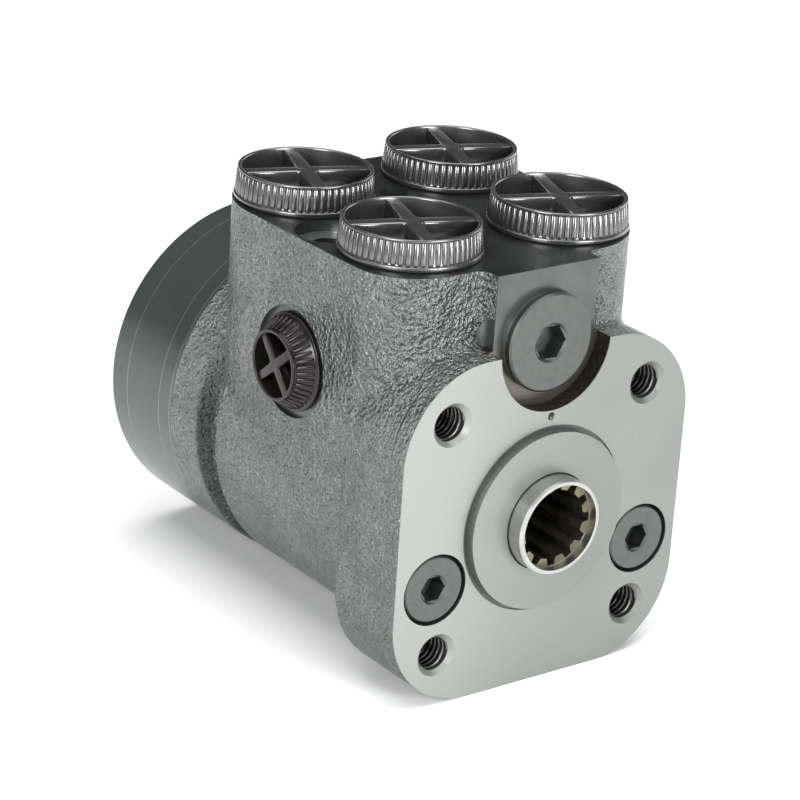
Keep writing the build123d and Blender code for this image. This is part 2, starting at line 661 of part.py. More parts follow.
def spool():
    """The inner valve spool, driven by the steering column."""
    end_y = SLEEVE_END_Y - END_GAP
    body = turned(
        [
            (0, -SPOOL_REACH),
            (SPOOL_END_R - SPOOL_CHAMFER, -SPOOL_REACH),
            (SPOOL_END_R, -SPOOL_REACH + SPOOL_CHAMFER),
            (SPOOL_END_R, SLEEVE_Y),
            (SPOOL_R, SLEEVE_Y),
            (SPOOL_R, end_y),
            (0, end_y),
        ]
    )
    mouth = rod_y(SOCKET_MOUTH_R, -SPOOL_REACH, SOCKET_Y)
    socket_end = SOCKET_Y + INPUT_SPLINE_LENGTH
    outline = toothed(INPUT_SPLINE_MINOR_R, INPUT_SPLINE_MAJOR_R, SPLINE_TEETH)
    spline = along_y(outline, SOCKET_Y, socket_end)
    round_bore = rod_y(INPUT_SPLINE_MINOR_R, SOCKET_Y, socket_end)
    bore = rod_y(SPOOL_BORE_R, SPOOL_BORE_Y, end_y)
    swing = LEAD_SWING + 2 * SLOT_SIDE_ROOM
    end_room = 2 * SLOT_END_ROOM
    spring_slot = Pos(0, SPRING_Y, 0) * Box(3 * SPOOL_R, SPRING_WIDTH + end_room, SPRING_PACK + swing)
    pin_slot = Pos(0, PIN_Y, 0) * Box(2 * PIN_R + swing, 2 * PIN_R + end_room, 3 * SPOOL_R)
    cuts = [mouth, spline, round_bore, bore, spring_slot, pin_slot]
    middle_y = SUPPLY_ROWS_Y[1]
    for slot in range(SPLINE_TEETH // 2):
        turn = Rot(0, 360.0 * slot / (SPLINE_TEETH // 2) + 30, 0)
        deep = Pos(0, middle_y, SPOOL_R) * Box(SPOOL_SLOT_WIDTH, SPOOL_SLOT_LENGTH, 2 * SPOOL_SLOT_DEPTH)
        cuts.append(turn * deep)
    return body - cuts


def cross_pin():
    """The pin that carries the sleeve's turn to the drive shaft."""
    half = math.sqrt(SLEEVE_R**2 - PIN_R**2) - RUN_GAP
    pin = rod_z(PIN_R, -half, half, 0, PIN_Y)
    return chamfer(pin.edges().filter_by(GeomType.CIRCLE), PIN_END_CHAMFER)


def centring_springs():
    """Leaf springs that return the spool to neutral: flat leaves inside, bowed leaves outside."""
    half = SLEEVE_R - SPRING_RING_THICKNESS - 3 * RUN_GAP
    leaves = []
    for leaf in range(LEAF_COUNT):
        level = (leaf - (LEAF_COUNT - 1) / 2) * LEAF_THICKNESS
        leaves.append(Pos(0, SPRING_Y, level) * Box(2 * half, SPRING_WIDTH, LEAF_THICKNESS))
    flat = SPOOL_BORE_R - BOW_END_ROOM
    start = SPRING_Y - SPRING_WIDTH / 2
    for side in (-1, 1):
        inner = side * SPRING_PACK / 2
        arch = inner + side * LEAF_BOW
        upper = ThreePointArc((-flat, inner), (0, arch + side * LEAF_THICKNESS), (flat, inner))
        lower = ThreePointArc((-flat, inner), (0, arch), (flat, inner))
        leaves.append(along_y(make_face([upper, lower]), start, start + SPRING_WIDTH))
    return Compound(leaves)


def spring_ring():
    """The ring that keeps the leaf springs in the sleeve."""
    inner = SLEEVE_R - SPRING_RING_THICKNESS
    return ring_y(SLEEVE_R - RUN_GAP, inner, SPRING_Y - SPRING_WIDTH / 2, SPRING_Y + SPRING_WIDTH / 2)


# ------------------------------------------------------------------ orbit gear set
def lobe_cavity():
    """The opening of the gear ring: a round pocket with seven lobes standing into it."""
    pocket_r = LOBE_CENTRE_R + 2 * ECCENTRICITY - LOBE_R + POCKET_GAP
    cavity = Sketch() + Circle(pocket_r)
    for angle in SCREW_ANGLES:
        cavity -= Pos(*around(LOBE_CENTRE_R, angle)) * Circle(LOBE_R)
    return cavity


def rotor_point(turn):
    """A point of the rotor outline: the path of the lobe centres, drawn in by the lobe radius."""
    teeth = LOBES - 1
    path = complex(LOBE_CENTRE_R * math.cos(turn), LOBE_CENTRE_R * math.sin(turn))
    path -= ECCENTRICITY * complex(math.cos(LOBES * turn), math.sin(LOBES * turn))
    slope = complex(-LOBE_CENTRE_R * math.sin(turn), LOBE_CENTRE_R * math.cos(turn))
    slope -= ECCENTRICITY * LOBES * complex(-math.sin(LOBES * turn), math.cos(LOBES * turn))
    normal = slope / abs(slope) * complex(0, -1)
    point = path - (LOBE_R + TOOTH_GAP) * normal
    return point.real, point.imag


def screw_holes(start, end):
    """Clearance holes for the cover screws."""
    radius = SCREW_R + SCREW_HOLE_GAP
    return [rod_y(radius, start, end, *around(SCREW_CIRCLE_R, angle)) for angle in SCREW_ANGLES]


def distributor_plate():
    """The plate that feeds oil between the housing and the gear set."""
    end = PLATE_Y + PLATE_THICKNESS
    cuts = screw_holes(PLATE_Y, end)
    cuts.append(rod_y(PLATE_BORE_R, PLATE_Y, end))
    for angle in POCKET_ANGLES:
        cuts.append(rod_y(FEED_HOLE_R, PLATE_Y, end, *around(FEED_CIRCLE_R, angle)))
    cuts.append(ring_y(SEAL_GROOVE_OUTER_R, SEAL_GROOVE_R, end - SEAL_GROOVE_DEPTH, end))
    return rod_y(RING_R, PLATE_Y, end) - cuts


def gear_ring():
    """The fixed outer gear with seven lobes."""
    outline = Circle(RING_R) - lobe_cavity()
    return along_y(outline, GEAR_Y, COVER_Y) - screw_holes(GEAR_Y, COVER_Y)


def rotor():
    """The six-toothed inner gear that orbits in the gear ring."""
    teeth = LOBES - 1
    steps = teeth * POINTS_PER_TOOTH
    points = [rotor_point(2 * math.pi * step / steps) for step in range(steps)]
    outline = make_face(Spline(*points, periodic=True))
    outline -= toothed(DRIVE_SPLINE_MINOR_R, DRIVE_SPLINE_MAJOR_R, SPLINE_TEETH)
    outline -= Circle(DRIVE_SPLINE_MINOR_R)
    return Pos(ECCENTRICITY, 0, 0) * along_y(outline, GEAR_Y + SIDE_GAP, COVER_Y - SIDE_GAP)


def end_cover():
    """The plate that closes the gear set."""
    cover = rod_y(RING_R, COVER_Y, COVER_END_Y)
    rear = cover.edges().sort_by(Axis.Y)[-1]
    cover = chamfer(rear, COVER_CHAMFER)
    cuts = screw_holes(COVER_Y, COVER_END_Y)
    cuts.append(ring_y(SEAL_GROOVE_OUTER_R, SEAL_GROOVE_R, COVER_Y, COVER_Y + SEAL_GROOVE_DEPTH))
    for angle in SCREW_ANGLES:
        x, z = around(SCREW_CIRCLE_R, angle)
        cuts.append(rod_y(WASHER_R + SCREW_POCKET_GAP, SCREW_SEAT_Y, COVER_END_Y, x, z))
    return cover - cuts


def joint_seals():
    """The seal rings in the three joints between housing and end cover."""
    inner = SEAL_GROOVE_R + SEAL_GAP
    outer = SEAL_GROOVE_OUTER_R - SEAL_GAP
    depth = SEAL_GROOVE_DEPTH - SEAL_GAP
    return Compound(
        [
            ring_y(outer, inner, HOUSING_END_Y - depth, HOUSING_END_Y),
            ring_y(outer, inner, GEAR_Y - depth, GEAR_Y),
            ring_y(outer, inner, COVER_Y, COVER_Y + depth),
        ]
    )


# ------------------------------------------------------------------ drive shaft
def drive_shaft():
    """The shaft between cross pin and rotor, which nods as the rotor orbits."""
    half = DRIVE_SPLINE_LENGTH / 2
    fork = rod_y(DRIVE_FORK_R, -DRIVE_FORK_FRONT, DRIVE_FORK_REAR)
    fork = chamfer(fork.edges().sort_by(Axis.Y)[0], FORK_CHAMFER)
    shank = rod_y(DRIVE_SHANK_R, DRIVE_FORK_REAR, DRIVE_REACH)
    minor = DRIVE_SPLINE_MINOR_R - DRIVE_SPLINE_GAP
    major = DRIVE_SPLINE_MAJOR_R - DRIVE_SPLINE_GAP
    outline = toothed(minor, major, SPLINE_TEETH, DRIVE_SPLINE_EASE)
    teeth = along_y(outline, DRIVE_REACH - half, DRIVE_REACH + half)
    core = rod_y(minor - CORE_LAP, DRIVE_REACH - half, DRIVE_REACH + half)
    barrel = turned(
        [
            (0, DRIVE_REACH - half),
            (minor - CROWN_DROP, DRIVE_REACH - half),
            (major, DRIVE_REACH - half / 2),
            (major, DRIVE_REACH + half / 2),
            (minor - CROWN_DROP, DRIVE_REACH + half),
            (0, DRIVE_REACH + half),
        ]
    )
    crown = (teeth + core) & barrel
    slot_end = PIN_R + FORK_END_GAP
    slot_length = slot_end + DRIVE_FORK_FRONT + 1
    slot = Pos(0, slot_end - slot_length / 2, 0) * Box(
        2 * (PIN_R + FORK_SIDE_GAP), slot_length, 3 * DRIVE_FORK_R
    )
    shaft = fork + shank + crown - slot
    return Pos(0, PIN_Y, 0) * Rot(0, 0, -DRIVE_TILT) * shaft


def drive_spacer():
    """The disc that keeps the drive shaft off the end cover."""
    end = COVER_Y - END_GAP
    return rod_y(SPACER_R, end - SPACER_THICKNESS, end, ECCENTRICITY, 0)


# ------------------------------------------------------------------ cover screws
def cover_screw(angle, tail=0.0):
    """One socket head cover screw, with a roll pin on its end where a tail is asked for."""
    x, z = around(SCREW_CIRCLE_R, angle)
    seat = SCREW_SEAT_Y + WASHER_THICKNESS
    top = seat + SCREW_HEAD_HEIGHT
    tip = HOUSING_END_Y - SCREW_THREAD_LENGTH + tail
    head = rod_y(SCREW_HEAD_R, seat, top, x, z)
    head = chamfer(head.edges().filter_by(GeomType.CIRCLE).sort_by(Axis.Y)[-1], SCREW_HEAD_CHAMFER)
    socket = Pos(x, z) * Rot(0, 0, angle) * hexagon(SCREW_SOCKET_FLATS)
    screw = head + rod_y(SCREW_R - THREAD_GAP, tip, seat, x, z)
    if tail:
        screw += rod_y(ROLL_PIN_R, tip - tail, tip, x, z)
    return screw - along_y(socket, top - SCREW_SOCKET_DEPTH, top)


def cover_screws():
    """The six plain cover screws."""
    return Compound([cover_screw(angle) for angle in SCREW_ANGLES if angle != PIN_SCREW_ANGLE])


def pin_screw():
    """The cover screw that carries a roll pin."""
    return cover_screw(PIN_SCREW_ANGLE, ROLL_PIN_LENGTH)


def screw_washers():
    """The seven sealing washers under the screw heads."""
    end = SCREW_SEAT_Y + WASHER_THICKNESS
    washers = []
    for angle in SCREW_ANGLES:
        x, z = around(SCREW_CIRCLE_R, angle)
        washer = rod_y(WASHER_R, SCREW_SEAT_Y, end, x, z)
        washers.append(washer - rod_y(SCREW_R + WASHER_GAP, SCREW_SEAT_Y, end, x, z))
    return Compound(washers)


# ------------------------------------------------------------------ relief valve
def socket_cut(flats, lead, face_y, depth, x, z):
    """A hexagon socket with a conical lead, sunk from face_y."""
    socket = along_y(Pos(x, z) * hexagon(flats), face_y, face_y + depth)
    mouth_r = flats / 2 / math.cos(math.radians(30)) + SOCKET_LEAD_PROUD
    return socket + Pos(x, face_y, z) * Rot(-90, 0, 0) * Cone(mouth_r, mouth_r - lead, lead, align=BASE)


def relief_plug():
    """The hexagon-socket plug over the relief valve."""
    washer_y = PAD_Y - RELIEF_WASHER_THICKNESS
    head = rod_y(RELIEF_HEAD_R, RELIEF_HEAD_Y, washer_y, 0, RELIEF_Z)
    head = chamfer(head.edges().filter_by(GeomType.CIRCLE).sort_by(Axis.Y)[0], RELIEF_HEAD_CHAMFER)
    stem = rod_y(RELIEF_STEM_R - THREAD_GAP, washer_y, PAD_Y + RELIEF_STEM_LENGTH, 0, RELIEF_Z)
    socket = socket_cut(
        RELIEF_SOCKET_FLATS, RELIEF_SOCKET_LEAD, RELIEF_HEAD_Y, RELIEF_SOCKET_DEPTH, 0, RELIEF_Z
    )
    return head + stem - socket


def relief_washer():
    """The sealing washer under the relief plug's head."""
    start = PAD_Y - RELIEF_WASHER_THICKNESS
    washer = rod_y(RELIEF_WASHER_R, start, PAD_Y, 0, RELIEF_Z)
    return washer - rod_y(RELIEF_STEM_R, start, PAD_Y, 0, RELIEF_Z)


def relief_adjuster():
    """The screw that sets the relief spring."""
    end = RELIEF_ADJUSTER_Y + RELIEF_ADJUSTER_LENGTH
    body = rod_y(RELIEF_BORE_R - THREAD_GAP, RELIEF_ADJUSTER_Y, end, 0, RELIEF_Z)
    socket = Pos(0, RELIEF_Z) * hexagon(RELIEF_ADJUSTER_FLATS)
    return body - along_y(socket, RELIEF_ADJUSTER_Y, end - RELIEF_ADJUSTER_FLOOR)


def relief_spring():
    """The relief valve's compression spring."""
    start = RELIEF_ADJUSTER_Y + RELIEF_ADJUSTER_LENGTH + RUN_GAP
    end = RELIEF_POPPET_Y - RUN_GAP
    return coil(RELIEF_SPRING_R, RELIEF_WIRE, start, end, RELIEF_SPRING_TURNS, 0, RELIEF_Z)


def relief_poppet():
    """The cone that closes the relief seat."""
    shoulder = RELIEF_POPPET_Y + RELIEF_POPPET_FLANGE
    cone_y = RELIEF_SEAT_Y - RELIEF_CONE_REACH
    body = rod_y(RELIEF_POPPET_R, RELIEF_POPPET_Y, shoulder, 0, RELIEF_Z)
    stem = rod_y(RELIEF_CONE_R, shoulder, cone_y, 0, RELIEF_Z)
    cone = Cone(RELIEF_CONE_R, RELIEF_CONE_TIP_R, RELIEF_CONE_LENGTH, align=BASE)
    return body + stem + Pos(0, cone_y, RELIEF_Z) * Rot(-90, 0, 0) * cone


def relief_seat():
    """The pressed-in seat of the relief valve."""
    seat = rod_y(RELIEF_BORE_R - THREAD_GAP, RELIEF_SEAT_Y, RELIEF_BORE_END_Y, 0, RELIEF_Z)
    hole = rod_y(RELIEF_SEAT_HOLE_R, RELIEF_SEAT_Y, RELIEF_BORE_END_Y, 0, RELIEF_Z)
    return seat - hole


# ------------------------------------------------------------------ shock valves
def shock_plug(x):
    """One flush hexagon-socket plug in the mounting face."""
    neck_y = SHOCK_HEAD_Y + SHOCK_HEAD_THICKNESS
    head = rod_y(SHOCK_HEAD_R, SHOCK_HEAD_Y, neck_y, x, SHOCK_Z)
    head = chamfer(head.edges().filter_by(GeomType.CIRCLE).sort_by(Axis.Y)[0], SHOCK_HEAD_CHAMFER)
    stem = rod_y(SHOCK_STEM_R - THREAD_GAP, neck_y, neck_y + SHOCK_STEM_LENGTH, x, SHOCK_Z)
    socket = socket_cut(
        SHOCK_SOCKET_FLATS, SHOCK_SOCKET_LEAD, SHOCK_HEAD_Y, SHOCK_SOCKET_DEPTH, x, SHOCK_Z
    )
    return head + stem - socket


def shock_spring(x):
    """One shock valve spring."""
    start = SHOCK_HEAD_Y + SHOCK_HEAD_THICKNESS + SHOCK_STEM_LENGTH + RUN_GAP
    end = SHOCK_BALL_Y - math.sqrt(SHOCK_BALL_R**2 - (SHOCK_SPRING_R - SHOCK_WIRE / 2) ** 2) - END_GAP
    return coil(SHOCK_SPRING_R, SHOCK_WIRE, start, end, SHOCK_SPRING_TURNS, x, SHOCK_Z)


def shock_ball(x):
    """One shock valve ball."""
    return Pos(x, SHOCK_BALL_Y, SHOCK_Z) * Sphere(SHOCK_BALL_R)


# ------------------------------------------------------------------ check and suction valves
def check_bushing():
    """The threaded seat of the check valve, under a hose port."""
    x, y = PORT_PLACES[CHECK_PORT]
    bottom = PORT_FLOOR_Z - CHECK_BUSHING_LENGTH
    bushing = rod_z(CHECK_POCKET_R - THREAD_GAP, bottom, PORT_FLOOR_Z, x, y)
    return bushing - rod_z(CHECK_HOLE_R, bottom, PORT_FLOOR_Z, x, y)


def check_ball():
    """The check valve ball, down in its pocket."""
    x, y = PORT_PLACES[CHECK_PORT]
    return Pos(x, y, CHECK_BALL_Z) * Sphere(CHECK_BALL_R)


def suction_ball(side):
    """One suction valve ball behind the distributor plate."""
    x, z = around(SUCTION_CIRCLE_R, SUCTION_ANGLES[side])
    return Pos(x, HOUSING_END_Y - SUCTION_BALL_R - END_GAP, z) * Sphere(SUCTION_BALL_R)


def suction_pins():
    """The stop pins of both suction valves."""
    floor = HOUSING_END_Y - SUCTION_BORE_DEPTH
    places = [around(SUCTION_CIRCLE_R, angle) for angle in SUCTION_ANGLES.values()]
    return Compound([rod_y(SUCTION_PIN_R, floor, floor + SUCTION_PIN_LENGTH, x, z) for x, z in places])


# ------------------------------------------------------------------ caps
def ribbed_outline(radius, ribs):
    """A round outline with shallow ribs."""
    corners = []
    for rib in range(ribs):
        for share in (-RIB_FOOT_SHARE, -RIB_CREST_SHARE, RIB_CREST_SHARE, RIB_FOOT_SHARE):
            corner_r = radius if abs(share) == RIB_CREST_SHARE else radius - CAP_RIB_DEPTH
            angle = 2 * math.pi * (rib + share) / ribs
            corners.append((corner_r * math.cos(angle), corner_r * math.sin(angle)))
    return make_face(Polyline(*corners, close=True))


def cap_pockets(radius, bar_width, corner_r):
    """The four openings between the cross bars of a cap."""
    disc = Sketch() + Circle(radius)
    quarters = disc - Rectangle(bar_width, 3 * radius) - Rectangle(3 * radius, bar_width)
    return fillet(quarters.vertices(), corner_r)


def cap_shape(top_r, base_r, height, ribs, bar_width, skirt_r, skirt_length, corner_r):
    """A plastic port plug standing on the plane Z = 0, its skirt below."""
    taper = math.degrees(math.atan2(base_r - top_r, height - CAP_LIP))
    lip = Cylinder(base_r + CAP_LIP_PROUD, CAP_LIP, align=BASE)
    side = extrude(Pos(0, 0, CAP_LIP) * ribbed_outline(base_r, ribs), amount=height - CAP_LIP, taper=taper)
    inside_r = top_r - CAP_RIM - CAP_RIB_DEPTH / 2
    well = Pos(0, 0, height - CAP_BAR_DROP) * Cylinder(inside_r, height, align=BASE)
    pockets = extrude(Pos(0, 0, CAP_FLOOR) * cap_pockets(inside_r, bar_width, corner_r), amount=height)
    skirt = Cylinder(skirt_r, skirt_length, align=BASE)
    skirt -= Cylinder(skirt_r - CAP_SKIRT_WALL, skirt_length, align=BASE)
    return lip + side - well - pockets + Pos(0, 0, -skirt_length) * skirt


def port_cap(name):
    """The cap of one hose port."""
    x, y = PORT_PLACES[name]
    cap = cap_shape(
        CAP_TOP_R,
        CAP_BASE_R,
        CAP_HEIGHT,
        CAP_RIBS,
        CAP_BAR_WIDTH,
        PORT_SEAT_R - CAP_GAP,
        PORT_SEAT_DEPTH - CAP_END_GAP,
        CAP_CORNER_R,
    )
    return Pos(x, y, PORT_FACE_Z + CAP_GAP) * Rot(0, 0, CAP_BAR_TURN) * cap


def sense_cap():
    """The cap of the load sensing port."""
    cap = cap_shape(
        SENSE_CAP_TOP_R,
        SENSE_CAP_BASE_R,
        SENSE_CAP_HEIGHT,
        SENSE_CAP_RIBS,
        SENSE_CAP_BAR_WIDTH,
        SENSE_SEAT_R - CAP_GAP,
        SENSE_SEAT_DEPTH - CAP_END_GAP,
        CAP_CORNER_R / 2,
    )
    floor = BLOCK_LEFT_X + SENSE_SPOT_DEPTH - CAP_GAP
    return Pos(floor, SENSE_Y, SENSE_Z) * Rot(0, -90, 0) * Rot(0, 0, SENSE_CAP_TURN) * cap


# ------------------------------------------------------------------ the whole unit
PIECES = {
    "housing": housing,
    "dust_seal": dust_seal,
    "shaft_seal": shaft_seal,
    "bearing_race_outer": bearing_race_outer,
    "bearing_cage": bearing_cage,
    "bearing_race_inner": bearing_race_inner,
    "sleeve": sleeve,
    "spool": spool,
    "cross_pin": cross_pin,
    "centring_springs": centring_springs,
    "spring_ring": spring_ring,
    "distributor_plate": distributor_plate,
    "gear_ring": gear_ring,
    "rotor": rotor,
    "end_cover": end_cover,
    "joint_seals": joint_seals,
    "drive_shaft": drive_shaft,
    "drive_spacer": drive_spacer,
    "cover_screws": cover_screws,
    "pin_screw": pin_screw,
    "screw_washers": screw_washers,
    "relief_plug": relief_plug,
    "relief_washer": relief_washer,
    "relief_adjuster": relief_adjuster,
    "relief_spring": relief_spring,
    "relief_poppet": relief_poppet,
    "relief_seat": relief_seat,
    "check_bushing": check_bushing,
    "check_ball": check_ball,
    "suction_pins": suction_pins,
    "sense_cap": sense_cap,
}

for node, make in PIECES.items():
    export_step(make(), f"parts/{node}.step")

for side, x in (("left", -SHOCK_X), ("right", SHOCK_X)):
    export_step(shock_plug(x), f"parts/shock_plug_{side}.step")
    export_step(shock_spring(x), f"parts/shock_spring_{side}.step")
    export_step(shock_ball(x), f"parts/shock_ball_{side}.step")
    export_step(suction_ball(side), f"parts/suction_ball_{side}.step")

for place in PORT_PLACES:
    export_step(port_cap(place), f"parts/cap_{place}.step")
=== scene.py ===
import json
import math

import bmesh
import bpy
from mathutils import Matrix, Vector


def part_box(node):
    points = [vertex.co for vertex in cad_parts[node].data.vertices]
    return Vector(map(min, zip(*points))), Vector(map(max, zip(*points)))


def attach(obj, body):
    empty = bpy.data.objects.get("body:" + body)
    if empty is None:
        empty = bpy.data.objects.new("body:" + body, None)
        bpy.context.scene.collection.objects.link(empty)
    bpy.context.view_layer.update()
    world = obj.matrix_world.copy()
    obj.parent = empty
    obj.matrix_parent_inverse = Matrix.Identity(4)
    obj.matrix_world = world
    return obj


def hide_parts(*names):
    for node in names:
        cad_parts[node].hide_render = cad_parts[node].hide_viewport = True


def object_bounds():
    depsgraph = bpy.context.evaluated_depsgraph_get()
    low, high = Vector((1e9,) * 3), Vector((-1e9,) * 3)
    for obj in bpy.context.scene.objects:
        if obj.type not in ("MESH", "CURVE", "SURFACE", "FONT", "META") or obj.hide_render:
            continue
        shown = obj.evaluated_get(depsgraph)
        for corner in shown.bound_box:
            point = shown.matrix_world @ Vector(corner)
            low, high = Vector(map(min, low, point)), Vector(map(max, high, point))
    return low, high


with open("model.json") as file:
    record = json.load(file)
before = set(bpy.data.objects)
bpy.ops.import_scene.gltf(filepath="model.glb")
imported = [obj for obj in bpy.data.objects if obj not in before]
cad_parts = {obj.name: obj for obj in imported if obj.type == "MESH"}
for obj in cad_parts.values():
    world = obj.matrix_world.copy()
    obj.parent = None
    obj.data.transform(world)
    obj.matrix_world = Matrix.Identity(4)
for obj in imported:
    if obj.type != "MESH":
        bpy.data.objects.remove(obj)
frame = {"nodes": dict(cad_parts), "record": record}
CAD_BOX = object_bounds()

bl_info = {
    "name": "Orbital Steering Unit",
    "version": (1, 0, 0),
    "blender": (4, 5, 0),
    "location": "3D View > Sidebar > Steering Unit",
    "description": "Finishes, threads, caps and stage of a hydraulic steering unit",
    "category": "Object",
}

MM = 0.001
MOUNTS = {mount["name"]: mount for mount in frame["record"]["mounts"]}


def mount_place(name):
    """Where a mount of the record lies, in millimetres."""
    return Vector(MOUNTS[name]["pos_m"]) / MM


# Places on the casting, in millimetres.
PAD_Y = 5.0
PORT_FACE_Z = 61.4
PORTS = ("front_left", "front_right", "rear_left", "rear_right")
PORT_MIDDLE = (mount_place("port_front_left") + mount_place("port_rear_right")) / 2
PORT_HALF = mount_place("port_rear_right") - PORT_MIDDLE
PORT_SEAT_R = 11.9
BOLT_HALF = MOUNTS["column_bolts"]["dims"]["spacing_x_mm"] / 2
BOLT_MOUTH_R = 5.4
BOLT_MOUTH_DEPTH = 1.15
FRONT_DEPTH = 17.0  # how far back the drilled faces of the flange reach
PILOT_R = MOUNTS["pilot"]["dims"]["r_mm"]
PILOT_GROOVE_WIDTH = 1.1
RELIEF_Z = 43.6
RELIEF_SPOT_R = 16.2
SHOCK_PLACE = (30.94, -11.91)
SHOCK_SPOT_R = 9.0
STEP_HOLE = (-31.8, 48.4)
STEP_HOLE_R = 8.3
STEP_Z = 58.5
DRAIN_HOLE = (0.0, 66.2)
DRAIN_HOLE_R = 3.6
SENSE = mount_place("sense_port")
SENSE_FLOOR_X = -39.8
SENSE_SPOT_R = 13.7
NECK_Y = (82.0, 86.0)  # the shaded rear half of the neck
HOUSING_END_Y = 98.5
JOINTS_Y = (HOUSING_END_Y, 103.5, 118.7)  # between housing, distributor plate, gear ring and end cover
SOCKET_Y = -4.4  # where the teeth of the splined socket begin

# Colours that more than one finish uses.
RING_COLOUR = (0.094, 0.109, 0.104)
# Light line at each joint: a bare edge break, partly a painted highlight on its chamfer.
JOINT_EDGE_AND_HIGHLIGHT = (0.2, 0.21, 0.205, 1.0)


# ------------------------------------------------------------------ sizes and colours
def length(name, text, default):
    """A length in metres, given here in millimetres."""
    return bpy.props.FloatProperty(
        name=name, description=text, default=default * MM, precision=5, unit="LENGTH", subtype="DISTANCE"
    )


def colour(name, text, default):
    """A linear colour."""
    return bpy.props.FloatVectorProperty(
        name=name, description=text, default=default, size=3, min=0.0, max=1.0, subtype="COLOR"
    )


def share(name, text, default):
    """A share between nothing and all."""
    return bpy.props.FloatProperty(
        name=name, description=text, default=default, min=0.0, max=1.0, subtype="FACTOR"
    )


class HousingLook(bpy.types.PropertyGroup):
    """Finishes of the cast housing."""

    paint: colour("Paint", "Dark oxide paint over the cast skin", (0.2, 0.222, 0.213))
    face: colour("Ground face", "Bare ground iron of the mounting face", (0.268, 0.283, 0.269))
    milled: colour("Milled faces", "Port face and pad under thin paint", (0.12, 0.128, 0.127))
    rust: colour("Oxide", "Brown film in the spot faces", (0.06, 0.048, 0.04))
    ring: colour("Turned ring", "Blackened turned ring at the rear of the casting", RING_COLOUR)
    grain: length("Cast grain", "Size of the lumps in the cast skin", 0.95)
    grain_depth: length("Grain depth", "Depth of the cast lumps", 1.9)


class ThreadSizes(bpy.types.PropertyGroup):
    """Screw threads in the housing."""

    column_radius: length("Column hole radius", "Radius of the column bolt holes", 4.25)
    column_pitch: length("Column pitch", "Thread pitch of the column bolt holes", 1.5)
    port_radius: length("Port radius", "Radius of the hose port threads", 10.19)
    port_pitch: length("Port pitch", "Thread pitch of the hose ports", 1.5)
    sense_radius: length("Sensing port radius", "Radius of the load sensing thread", 5.19)
    depth: length("Depth", "How far the thread stands out of the wall", 0.42)


class CapSizes(bpy.types.PropertyGroup):
    """Ribs and bars of the plastic port caps."""

    ribs: bpy.props.IntProperty(name="Ribs", description="Grip ribs round one port cap", default=60, min=12)
    rib_depth: length("Rib depth", "How far a rib stands out", 0.45)
    bar_width: length("Bar width", "Width of the cross bars", 3.6)
    edge: length("Edge round", "Round on the bars and the rim", 0.45)
    sense_ribs: bpy.props.IntProperty(
        name="Sensing cap ribs", description="Grip ribs round the small cap", default=40, min=12
    )
    sense_bar_width: length("Sensing bar width", "Width of the small cap's cross bars", 2.4)
    plastic: colour("Plastic", "Black cap plastic", (0.026, 0.028, 0.029))


class SteelLook(bpy.types.PropertyGroup):
    """Finishes of the steel pieces."""

    turned: colour("Turned steel", "Bright turned spool", (0.47, 0.475, 0.46))
    plug: colour("Plug steel", "Satin phosphated plugs", (0.128, 0.136, 0.13))
    ring: colour("Ring paint", "Smooth blackened steel of the rear rings", RING_COLOUR)
    spline: colour("Spline film", "Khaki oil film on the ends of the spline teeth", (0.22, 0.195, 0.125))


class StageLook(bpy.types.PropertyGroup):
    """Floor, lights and camera."""

    floor: colour("Floor", "Pale studio floor", (0.94, 0.94, 0.94))
    camera_distance: bpy.props.FloatProperty(
        name="Camera distance", description="From the camera to the point it looks at", default=0.80083,
        unit="LENGTH", subtype="DISTANCE"
    )
    camera_azimuth: bpy.props.FloatProperty(
        name="Azimuth", description="Camera's turn about the vertical", default=math.radians(-37.57),
        unit="ROTATION", subtype="ANGLE"
    )
    camera_elevation: bpy.props.FloatProperty(
        name="Elevation", description="Camera's height above the level", default=math.radians(21.6),
        unit="ROTATION", subtype="ANGLE"
    )
    camera_roll: bpy.props.FloatProperty(
        name="Roll", description="Camera's turn about its own line of sight", default=math.radians(3.81),
        unit="ROTATION", subtype="ANGLE"
    )


